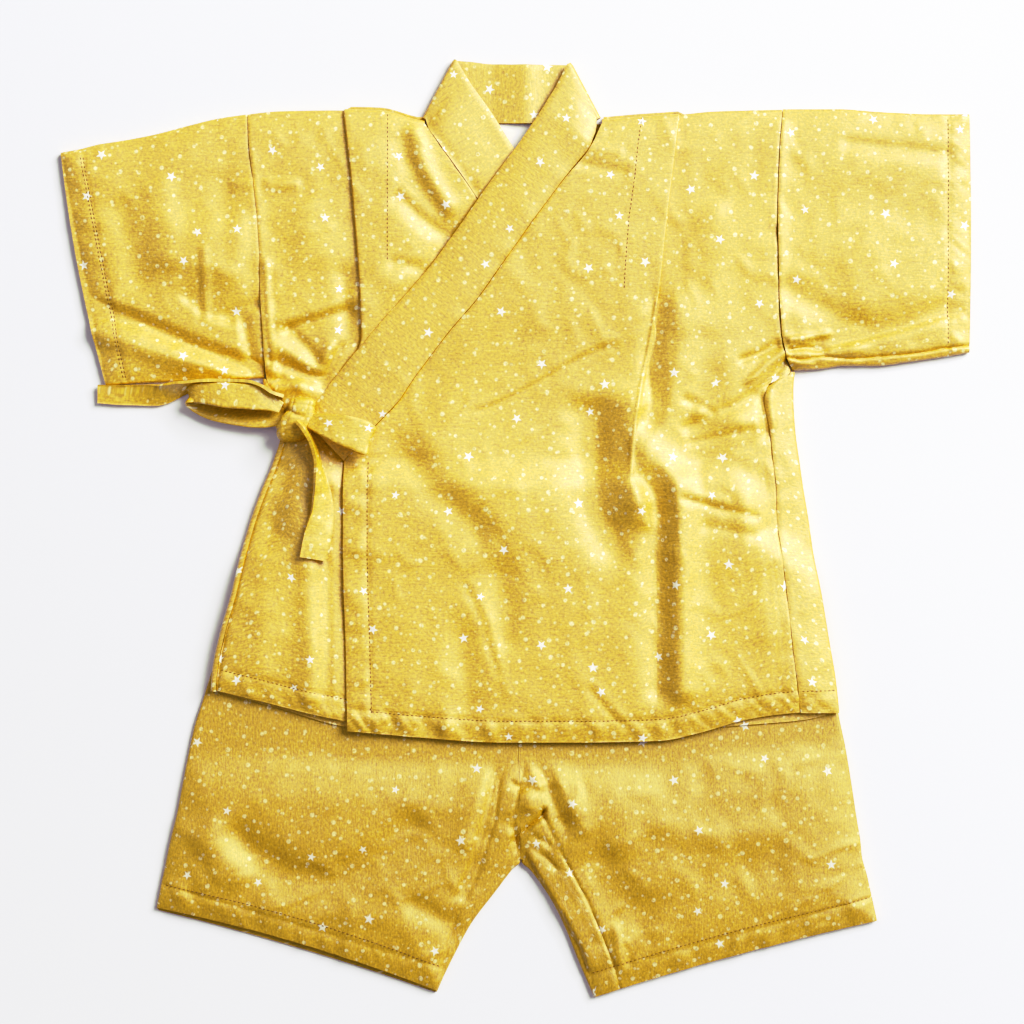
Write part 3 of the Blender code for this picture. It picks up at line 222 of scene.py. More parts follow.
def ribbedFinish(name, colour, waves, grooveShadeOrMottle, uneven, height, rough):
    # thread or tape: fine ribs, `waves` of them in a metre each way, that go from a darker
    # colour in their grooves, painted shade, to the full one. With uneven, a soft noise sets the
    # colour instead, an uneven tone of the tape's own, and the grooves get no painted shade.
    made, tree, shader = shaderOf(name)
    place = flatPlace(tree)
    u, v = parts(place)[:2]
    rib = (u * waves[0] + v * waves[1]).maths("SINE") * 0.5 + 0.5
    soft = noise(place, 160.0, 400.0, 3.0) if uneven else rib
    bump = addNode(tree, "ShaderNodeBump", {}, {"Height": rib + soft if uneven else rib,
                                                "Distance": height[0], "Strength": height[1]})
    # without uneven the darker colour follows the ribs' low parts: painted shade in the grooves
    feed(tree, shader, {"Base Color": mixColour(soft, tuple(c * grooveShadeOrMottle for c in colour), colour),
                        "Normal": bump, "Roughness": rough})
    return made


finishes = {
    "jacket": printedCotton("jacket cotton", cotton, (1.0, 1.0, 1.0), "across", (1.0, 0.99, 0.78)),
    # the shorts: the same cotton with painted shade, multiplied down to about three quarters
    "shorts": printedCotton("shorts cotton", cotton, (0.75, 0.732, 0.70), "down", (1.0, 0.97, 0.57)),
    "ties": printedCotton("tie cotton", cotton, (1.0, 1.0, 1.0), "across", (1.0, 0.99, 0.70)),
    # the thread's dark brown is painted shadow: the shade of the stitch holes painted into the thread's
    # colour
    "thread": ribbedFinish("sewing thread with painted shadow", (0.20, 0.112, 0.014), (2400.0, 900.0), 0.72, False,
                           (0.00006, 0.6), 0.55),
    "tape": ribbedFinish("label tape", (0.93, 0.91, 0.85), (0.0, 2 * math.pi / 0.0006), 0.90, True,
                         (0.00008, 0.5), 0.5),
}
print("finishes ready")


# the set lies on z = 0 and is seen from straight above; lengths in metres
studio = {
    "middle": (-0.0018, 0.0096),   # what the camera looks down on
    "frameWidth": 0.6144,
    "lens": 85.0,
    "floor": (0.815, 0.815, 0.845),
    "floorCorners": [(-6, -6), (6, -6), (6, 6), (-6, 6)],
    "floorZ": -0.0002,
    # place, size, power and colour
    "lamps": {"key": ((3.76, 2.96, 3.76), 3.2, 810.0, (1.0, 0.99, 0.97)),
              "fill": ((-1.2, 0.6, 1.9), 1.6, 5.4, (0.97, 0.98, 1.0))},
    "sky": 0.30,
    # how bright each light level comes out: for all colours (3) strong light is held back
    # a little, and for green (1) and blue (2) alone the dark folds go a little deeper
    "response": {
        3: [(0, 0), (0.15, 0.112), (0.30, 0.256), (0.50, 0.456), (0.70, 0.652), (1.0, 0.822),
            (1.25, 0.893), (1.43, 0.975), (1.7, 0.995), (2.6, 1.0)],
        1: [(0, 0), (0.25, 0.226), (0.42, 0.405), (0.55, 0.575), (0.64, 0.658), (0.72, 0.742),
            (0.90, 0.90), (1, 1)],
        2: [(0, 0), (0.02, 0.006), (0.035, 0.015), (0.048, 0.031), (0.06, 0.048), (0.09, 0.103),
            (0.13, 0.154), (0.175, 0.203), (0.30, 0.298), (1, 1)],
    },
}


def added(name, data):
    # a new object in the scene
    thing = bpy.data.objects.new(name, data)
    bpy.context.scene.collection.objects.link(thing)
    return thing


def buildStudio(s):
    # the tone curves, the floor, the lights aimed at the middle and the camera above it
    scene = bpy.context.scene
    view = scene.view_settings
    view.view_transform = "Standard"
    view.use_curve_mapping = True
    mapping = view.curve_mapping
    mapping.clip_max_x, mapping.clip_max_y = s["response"][3][-1]
    for channel, (first, *between, last) in s["response"].items():
        points = mapping.curves[channel].points
        points[0].location, points[1].location = first, last
        for level, shown in between:
            points.new(level, shown)
    mapping.update()
    data = bpy.data.cameras.new("camera")
    data.lens = s["lens"]
    data.clip_end = 20.0
    scene.camera = added("camera", data)
    scene.camera.location = (*s["middle"], s["frameWidth"] * s["lens"] / data.sensor_width)
    for name, (spot, size, power, colour) in s["lamps"].items():
        lamp = bpy.data.lights.new(name, "AREA")
        lamp.energy, lamp.size, lamp.color = power, size, colour
        thing = added(name, lamp)
        thing.location = spot
        tilt, turn = math.atan2(math.hypot(*spot[:2]), spot[2]), math.atan2(spot[1], spot[0])
        thing.rotation_euler = (0, tilt, turn)
    scene.world = bpy.data.worlds.new("sky")
    scene.world.use_nodes = True
    tree = scene.world.node_tree
    feed(tree, tree.nodes["Background"], {"Color": (1, 1, 1, 1), "Strength": s["sky"]})
    mesh = bpy.data.meshes.new("floor")
    mesh.from_pydata([(x, y, s["floorZ"]) for x, y in s["floorCorners"]], [], [(0, 1, 2, 3)])
    paper, tree, shader = shaderOf("floor paper")
    feed(tree, shader, {"Base Color": (*s["floor"], 1), "Roughness": 0.7, "Specular IOR Level": 0.2})
    mesh.materials.append(paper)
    added("floor", mesh)


buildStudio(studio)
print("studio ready")


# lengths are in millimetres from here on
def smoothStep(t):
    # 0 below t = 0, 1 above t = 1, and level at both ends
    t = np.clip(t, 0.0, 1.0)
    return t * t * (3.0 - 2.0 * t)


def smoothMax(a, b, blend):
    # the larger of two heights, rounded where they meet
    return 0.5 * (a + b + np.sqrt((a - b) ** 2 + blend ** 2))


def through(keys, values, wanted):
    # monotone cubic through a table's rows: it never swings past a row's own value
    keys = np.asarray(keys, float)
    values = np.asarray(values, float)
    wanted = np.clip(np.asarray(wanted, float), keys[0], keys[-1])
    gaps = np.diff(keys)
    rise = np.diff(values, axis=0) / gaps[:, None]
    slope = np.empty_like(values)
    slope[0] = rise[0]
    slope[-1] = rise[-1]
    before, after = rise[:-1], rise[1:]
    same = before * after > 0
    total = np.where(same, before + after, 1.0)
    slope[1:-1] = np.where(same, 2.0 * before * after / total, 0.0)
    cell = np.clip(np.searchsorted(keys, wanted, side="right") - 1, 0, len(gaps) - 1)
    t = ((wanted - keys[cell]) / gaps[cell])[:, None]
    width = gaps[cell][:, None]
    return ((2 * t ** 3 - 3 * t ** 2 + 1) * values[cell] + (t ** 3 - 2 * t ** 2 + t) * width * slope[cell]
            + (3 * t ** 2 - 2 * t ** 3) * values[cell + 1] + (t ** 3 - t ** 2) * width * slope[cell + 1])


def lineAt(points, x):
    # y of a line that runs from left to right, at each x
    table = np.array(points, float)
    return through(table[:, 0], table[:, 1:], np.ravel(x))[:, 0].reshape(np.shape(x))


def nearest(x, y, points):
    # how far each place is from a broken line, how far along it and on which side (+ left)
    best = np.full(np.shape(x), 1e9)
    along = np.zeros(np.shape(x))
    side = np.zeros(np.shape(x))
    run = 0.0
    for (ax, ay), (bx, by) in zip(points[:-1], points[1:]):
        dx, dy = bx - ax, by - ay
        length = max(math.hypot(dx, dy), 1e-9)
        share = np.clip(((x - ax) * dx + (y - ay) * dy) / length ** 2, 0, 1)
        px, py = x - ax - share * dx, y - ay - share * dy
        far = np.hypot(px, py)
        closer = far < best
        best = np.where(closer, far, best)
        along = np.where(closer, run + share * length, along)
        side = np.where(closer, np.sign(dx * py - dy * px), side)
        run += length
    return best, along, side


def inside(x, y, outline):
    # whether each place is inside a closed outline, by counting the sides it crosses
    odd = np.zeros(np.shape(x), bool)
    for (ax, ay), (bx, by) in zip(outline[:-1], outline[1:]):
        spans = (ay > y) != (by > y)
        rise = by - ay if by != ay else 1.0
        odd ^= spans & (x < ax + (y - ay) / rise * (bx - ax))
    return odd


creaseDepth = 1.45     # how strongly every crease stands


def folds(x, y, table):
    # Creases: rows of the width on the line's left, the width on its right, the height and
    # then the line's places, x and y in turn. A side falls away as a smooth bump, or in one
    # straight slope where its width is negative. A crease with unlike sides dies out
    # towards both ends of its line.
    total = np.zeros(np.shape(x))
    for left, right, height, *spots in table:
        line = list(zip(spots[::2], spots[1::2]))
        far, along, side = nearest(x, y, line)
        width = np.where(side > 0, left, right)
        rest = 1.0 - far / np.abs(width)
        straight = 0.5 * (rest + np.sqrt(rest ** 2 + 0.012))
        shape = np.where(width < 0, straight, np.exp(-(far / width) ** 2))
        if left != right:
            run = sum(math.dist(a, b) for a, b in zip(line[:-1], line[1:]))
            fade = min(2.0 + 0.8 * max(abs(left), abs(right)), 0.4 * run)
            shape = shape * smoothStep(along / fade) * smoothStep((run - along) / fade)
        total += height * shape
    return creaseDepth * total


def ripple(x, y, sizeX, sizeY, seed):
    # soft unevenness: random values on a square lattice whose cells have the given sizes,
    # smoothly joined, and the same again past its last row and column
    count = 67
    table = np.random.default_rng(seed).uniform(-1, 1, (count, count))
    u, v = x / sizeX + 500.0, y / sizeY + 500.0
    i, j = np.floor(u).astype(int), np.floor(v).astype(int)
    fu, fv = smoothStep(u - i), smoothStep(v - j)
    i, j, k, l = i % count, j % count, (i + 1) % count, (j + 1) % count
    return ((table[i, j] * (1 - fu) + table[k, j] * fu) * (1 - fv)
            + (table[i, l] * (1 - fu) + table[k, l] * fu) * fv)


def filled(depth, reach):
    # rises from 0 towards 1, two thirds of the way within `reach`
    return 1.0 - np.exp(-depth / reach)


def unit(vectors):
    # each vector divided by its length
    return vectors / np.maximum(np.linalg.norm(vectors, axis=-1, keepdims=True), 1e-9)


def normalsOf(grid, around):
    # square to the grid, from the differences between neighbouring points
    along = np.gradient(grid, axis=0)
    ring = np.roll(grid, -1, axis=1) - np.roll(grid, 1, axis=1)
    across = ring if around else np.gradient(grid, axis=1)
    return unit(np.cross(across, along))


def lengths(grid, axis, anchor, ignored=None):
    # length along one axis of the grid from the row or column `anchor`, negative before it;
    # ignored is a direction that isn't counted
    steps = np.diff(grid, axis=axis)
    if ignored is not None:
        steps[..., ignored] = 0.0
    total = np.cumsum(np.linalg.norm(steps, axis=2), axis=axis)
    total = np.concatenate([np.zeros_like(np.take(total, [0], axis=axis)), total], axis=axis)
    return total - np.take(total, [anchor], axis=axis)


def addPiece(name, points, corners, firsts, uv, finish):
    # a mesh from its points, its faces' corners one after another, where each face's
    # corners start and a flat place for each corner, all in millimetres
    mesh = bpy.data.meshes.new(name)
    corners, firsts = corners.astype(np.int32), firsts.astype(np.int32)
    for part, count, key, values in ((mesh.vertices, len(points), "co", points * mm),
                                     (mesh.loops, len(corners), "vertex_index", corners),
                                     (mesh.polygons, len(firsts), "loop_start", firsts)):
        part.add(count)
        part.foreach_set(key, values.ravel())
    mesh.update(calc_edges=True)
    mesh.uv_layers.new(name="cloth").data.foreach_set("uv", (uv * mm).ravel())
    mesh.polygons.foreach_set("use_smooth", np.ones(len(firsts), bool))
    mesh.materials.append(finishes[finish])
    thing = added(name, mesh)
    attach(thing, "root")
    print(name, len(corners) - 2 * len(firsts), "triangles")
    return thing


def makeCloth(name, replaced, grid, wall, finish, uv, around=False, active=None, upright=None):
    # A closed shell: the grid moved half a wall each way along its normals, with a rim
    # between the two faces. uv is each point's flat place, or what clothPlace needs for
    # it. The normals of the first row lean in no way along the axis `upright`.
    rows, cols = grid.shape[:2]
    normals = normalsOf(grid, around)
    if upright is not None:
        normals[0, :, upright] = 0.0
        normals = unit(normals)
    if isinstance(uv, dict):
        uv = clothPlace(grid, around, **uv)
    half = normals * np.broadcast_to(wall, (rows, cols))[..., None] / 2
    points = np.concatenate([grid + half, grid - half]).reshape(-1, 3)
    wide = cols if around else cols - 1
    if active is None:
        active = np.ones((rows - 1, wide), bool)
    shift = rows * cols
    number = np.arange(shift).reshape(rows, cols)
    number = np.hstack([number, number[:, :1]])
    spot = np.arange(rows * (cols + 1)).reshape(rows, cols + 1)   # where each corner's uv is
    pick = [(slice(a, rows - 1 + a), slice(b, wide + b)) for a, b in ((0, 0), (0, 1), (1, 1), (1, 0))]
    corners, spots = [np.stack([table[p][active] for p in pick], 1) for table in (number, spot)]
    edges, edgeSpots = [np.stack([c, np.roll(c, -1, 1)], 2).reshape(-1, 2) for c in (corners, spots)]
    rim = ~np.isin(edges @ (shift, 1), edges @ (1, shift))     # edges no other face runs back along
    p, q = edges[rim].T
    pSpot, qSpot = edgeSpots[rim].T
    faces = np.concatenate([corners, corners[:, ::-1] + shift, np.stack([q, p, p + shift, q + shift], 1)])
    places = np.concatenate([spots, spots[:, ::-1], np.stack([qSpot, pSpot, pSpot, qSpot], 1)])
    used, faces = np.unique(faces, return_inverse=True)
    thing = addPiece(name, points[used], faces.ravel(), np.arange(0, faces.size, 4),
                     uv.reshape(-1, 2)[places.ravel()], finish)
    thing.data.set_sharp_from_angle(angle=math.radians(60))
    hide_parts(replaced)
    return thing


def clothPlace(grid, around, row, column, swapped=False, second=None, between=None):
    # The cloth's own flat place: where its anchor column and row are in plan, and the
    # length of cloth from them. swapped is for rows that run along x. With a second anchor
    # column, the place passes from one to the other between the two columns named.
    if around:
        grid = np.concatenate([grid, grid[:, :1]], axis=1)
    main, other = (1, 0) if swapped else (0, 1)
    down = lengths(grid, 0, row, main)
    across = lengths(grid, 1, column, other)
    middle = grid.shape[0] // 2
    wayDown = np.sign(grid[-1, column, other] - grid[0, column, other])
    wayAcross = np.sign(grid[middle, column + 1, main] - grid[middle, column, main])
    place = np.empty(grid.shape[:2] + (2,))
    place[..., main] = grid[:, column:column + 1, main] + wayAcross * across
    if second is not None:
        there = (grid[:, second:second + 1, main]
                 + wayAcross * (across - across[:, second:second + 1]))
        there = there - np.median((there - place[..., main])[:, second])
        share = smoothStep((np.arange(grid.shape[1]) - between[0]) / (between[1] - between[0]))
        share = 1 - share if second < column else share
        place[..., main] += (there - place[..., main]) * share
    place[..., other] = grid[row:row + 1, :, other] + wayDown * down
    return place if around else np.concatenate([place, place[:, -1:]], axis=1)


sewn = []     # lines of stitches: the piece and the points of the line


cloth = {
    "wall": 0.9,
    "low": 0.5,          # the middle of the wall of cloth that lies on the floor
    "turn": 1.2,         # radius of a folded edge at the middle of its wall
    "edge": 1.7,
    "folded": 2.4,       # an upper layer above the lower one it folds over
    "layer": 1.3,
    "seamGap": 0.15,     # from a seam to the cloth on either side of it
    "turnGap": 0.35,     # the least from a side seam to the turn beside it
    "tuckRise": 2.5,
    "tuckTurn": 0.8,
}

jacket = {
    "rise": 4.7, "reach": 10.0, "wrapReach": 16.0, "wrapEdge": 0.66, "leastLoft": 0.5, "blend": 0.8,
    # y, left edge, left seam, front edge, hidden edge, right seam, right edge,
    # left fold and its stitches, right fold and its stitches
    "sections": [
        (246, -160, -160, 52, -54, 160, 160, -102, -76, 98, 72),
        (230, -159, -159, 45, -44, 158, 158, -100, -76, 96, 72),
        (209, -156.5, -156.5, 29, -30, 157, 157, -97.5, -76, 93.5, 71.5),
        (185, -154, -154, 12, -14.5, 156.5, 156.5, -95.5, -76, 90.5, 67),
        (161, -152.5, -152.5, -5, 1.5, 157, 157, -93.5, -76, 88, 65.5),
        (137, -152, -152, -22, 18.5, 157.5, 157.5, -92, -76, 85, 75),
        (116, -150.6, -150.6, -40, 36.5, 159, 159, -91.5, -77, 81.5, 84),
        (101, -149.9, -149.9, -51.5, 48, 162, 162, -95.5, -90, 78.5, 81.5),
        (91, -151.2, -148.6, -59, 55.5, 165, 167.7, -97.5, -98, 77, 80),
        (85, -151, -146.8, -63, 59.5, 151.5, 167, -98.5, -102, 76, 79),
        (76, -145.5, -140.8, -69, 65.5, 149, 167, -99, -106, 74.5, 77.5),
        (59, -140, -136.2, -85, 82, 152, 168, -98, -108, 72, 76),
        (40, -145, -141.2, -102, 111, 154, 170.5, -95.5, -108, 70, 79),
        (23, -152, -148.2, -102.5, 109.5, 156, 173, -93.5, -108, 72, 86),
        (5, -158.5, -154.8, -102.5, 108, 156.5, 176, -93, -108, 77, 94),
        (-16, -164.5, -160.8, -102.5, 105.5, 159, 179, -93, -108, 82, 100.5),
        (-40, -170, -166.4, -102, 103, 162, 183.5, -93, -108, 84, 104.5),
        (-67, -177, -173.4, -101, 100, 165, 188, -93, -108, 84, 105),
        (-91, -181, -177.4, -100.5, 97.5, 168, 192, -93, -108, 84, 105),
        (-110, -182, -178.4, -100, 95.5, 170.5, 194, -93, -108, 84, 105),
    ],
    "underarmRow": 8,
    "underarms": [(-150, 89.2), (-100, 91), (100, 91), (152, 93.4), (168, 93.4)],
    "shoulders": [(-160, 247.6), (-141, 249.5), (-102, 250), (-81, 249.6), (-54, 243.5),
                  (52, 244), (72, 245.5), (98, 247.3), (120, 249.3), (160, 250.4)],
    "hemLeftFront": [(-100, -121), (-57, -125), (-9, -128), (39, -128), (87, -127),
                     (111, -122), (135, -115), (159, -111), (171, -110)],
    "hemRightFront": [(-182, -96), (-153, -103), (-117, -112), (-69, -120), (-9, -122),
                      (51, -121), (96, -119)],
    "hemBack": [(-182, -97), (-144, -107), (-100, -119), (-57, -123), (-9, -125), (51, -124),
                (99, -121), (135, -118), (171, -115), (194, -110)],
    # y along the neck of the back
    "backNeck": [(-54, 242.2), (-42, 242), (-18, 241.7), (6, 241.4), (40, 242), (53, 242.2)],
    "hemWidth": 13.0, "frontHemWidth": 14.5,
}
sectionNames = ("y", "edgeLeft", "seamLeft", "front", "hidden", "seamRight", "edgeRight",
                "foldLeft", "stitchLeft", "foldRight", "stitchRight")

sleeves = {
    # from the armhole to the cuff: the upper folded edge, the lower one, and how far the
    # line between them bows outwards
    "right": [(-160, 248, -149.2, 90, 0), (-177, 245.5, -167, 88.6, 1), (-196, 241, -184, 88, 1.5),
        (-215, 236, -201, 87.6, 2), (-236, 232, -217, 87, 2), (-249, 230, -230, 86.4, 2.5),
        (-261, 227, -238, 85.8, 3), (-272, 225, -245, 85.4, 3)],
    "left": [(160, 251, 166.8, 94.2, 0), (178, 251, 183, 95, 0), (195, 251, 199, 97, 0),
        (215, 249.5, 217, 97, 0), (234, 248.5, 234, 99, 0), (247, 248, 248, 101, 0),
        (260, 248, 261, 103, 0), (272, 248, 272, 105, -1)],
    "hemWidth": 13.0,
    "gap": {"right": 0.15, "left": 0.42},       # from the armhole to the sleeve
    "stitchRows": {"right": (0.0, -1.5), "left": (0.0,)},
    "backInset": 1.4,      # how far the back layer ends inside the cuff
    "underarmSeam": [(271.8, 109.2), (255, 107.4), (243, 105), (231, 103.8), (219, 102.6), (201, 101.4),
        (183, 102.6), (171, 100.8), (162, 102)],
}

shorts = {
    "rise": 6.0, "reach": 16.0, "blend": 0.8, "hemClear": 9.0, "hemReach": 16.0,
    "loftClear": 3.5, "loftReach": 40.0,
    # from the waist to the hem: the outer folded edge, the inner one and the bow
    "right": [(-114, -18, 1, -18, 0), (-133, -31, 1, -31, 0), (-153, -46, 1, -46, 0),
        (-169, -64, 1, -64, 0), (-181, -84, 1.5, -84, 0), (-187, -102.5, 2, -132, 0),
        (-192, -118, 2.5, -145, 0), (-198, -146, 3, -160, 0), (-203, -172, 3, -178, 0),
        (-206, -184, 3.5, -199, 0), (-208, -193, -1, -204, -1), (-210, -203, -11.7, -218, -2),
        (-212, -212, -26, -237, -3), (-213.5, -220, -36.3, -256, -3.5), (-215, -227, -46.5, -277, -4)],
    "left": [(120, -18, 1, -18, 0), (143, -31, 1, -31, 0), (163, -46, 1, -46, 0), (179, -64, 1, -64, 0),
        (188, -84, 1.5, -84, 0), (195, -117, 2, -134, 0), (198, -131, 2.5, -146, 0),
        (201.5, -152, 3, -160, 0), (205, -175, 3, -178, 0), (207, -187, 3.5, -199, 0),
        (208, -197, 9, -205, -0.5), (211, -208, 21, -222, 0), (213, -217, 30, -240, 1),
        (215, -226, 38, -260, 1.8), (217, -235, 47, -281, 2.3)],
    "crotchRow": 9,
    "waist": {"y": 7.0, "depth": 25.0, "left": -114.0, "right": 120.0, "wave": 0.45},
    "inseam": {"right": [(-9, -151), (-12, -175), (-24, -211), (-36, -235), (-45, -268)],
               "left": [(16.8, -172), (27.6, -194), (43.8, -224), (58.8, -260), (63, -277)]},
    "centreSeam": [(1, -100), (4, -128), (6, -142), (2, -158), (-1, -172), (1, -188)],
    "hemWidth": 14.5,
    "backHem": 3.6,       # how far the back of the right hem shows below the front
}

collar = {
    "wall": 1.6,
    "grain": (-36.0, 90.0, 36.0),      # how far the band leans from upright: over, back, under
    # free edge x, y and how high it lies, from the neck down to the end
    "over": [(16, 250, 7.2), (2, 229.5, 7.8), (-16, 205, 7.9), (-33, 180.5, 7.9), (-50, 157, 7.8),
        (-66, 138.5, 7.8), (-76.5, 127, 7.7), (-85, 117, 7.5), (-90, 111, 7.2), (-97, 103, 6.8),
        (-110, 87, 5.2), (-126, 65, 4.6)],
    "under": [(-15, 250, 3.8), (-2, 229.5, 3.6), (13.5, 205, 2.8), (29, 181, 2.2), (46, 157, 2.2),
        (62, 138, 2.2), (73.5, 123.5, 2.2), (81, 114, 2.2), (85, 108, 2.2), (91, 99, 2.2),
        (107, 82, 2.2), (132, 64, 2.2)],
    # round the neck: free edge, seam and height
    "neckOver": [(24.5, 264, 48.3, 237, 5.9), (31.3, 277.4, 49, 244, 5.4)],
    "neckUnder": [(-26.5, 266, -51.5, 238, 4.0), (-35, 280, -53.8, 244.5, 4.0)],
    "back": [(31.3, 277.4, 49, 244, 1.4), (22, 277.5, 38, 242.6, 1.5), (0, 277.5, 6, 241.9, 1.5),
        (-16, 278, -18, 242.3, 1.5), (-27, 279.4, -42, 242.8, 1.5), (-35, 280, -53.8, 244.5, 1.4)],
    "backFold": (-13.0, 6.0, 2.6),     # where the back's soft fold starts and is highest
    "label": ((-11, 13), (242, 226)),    # x and y of its edges
}

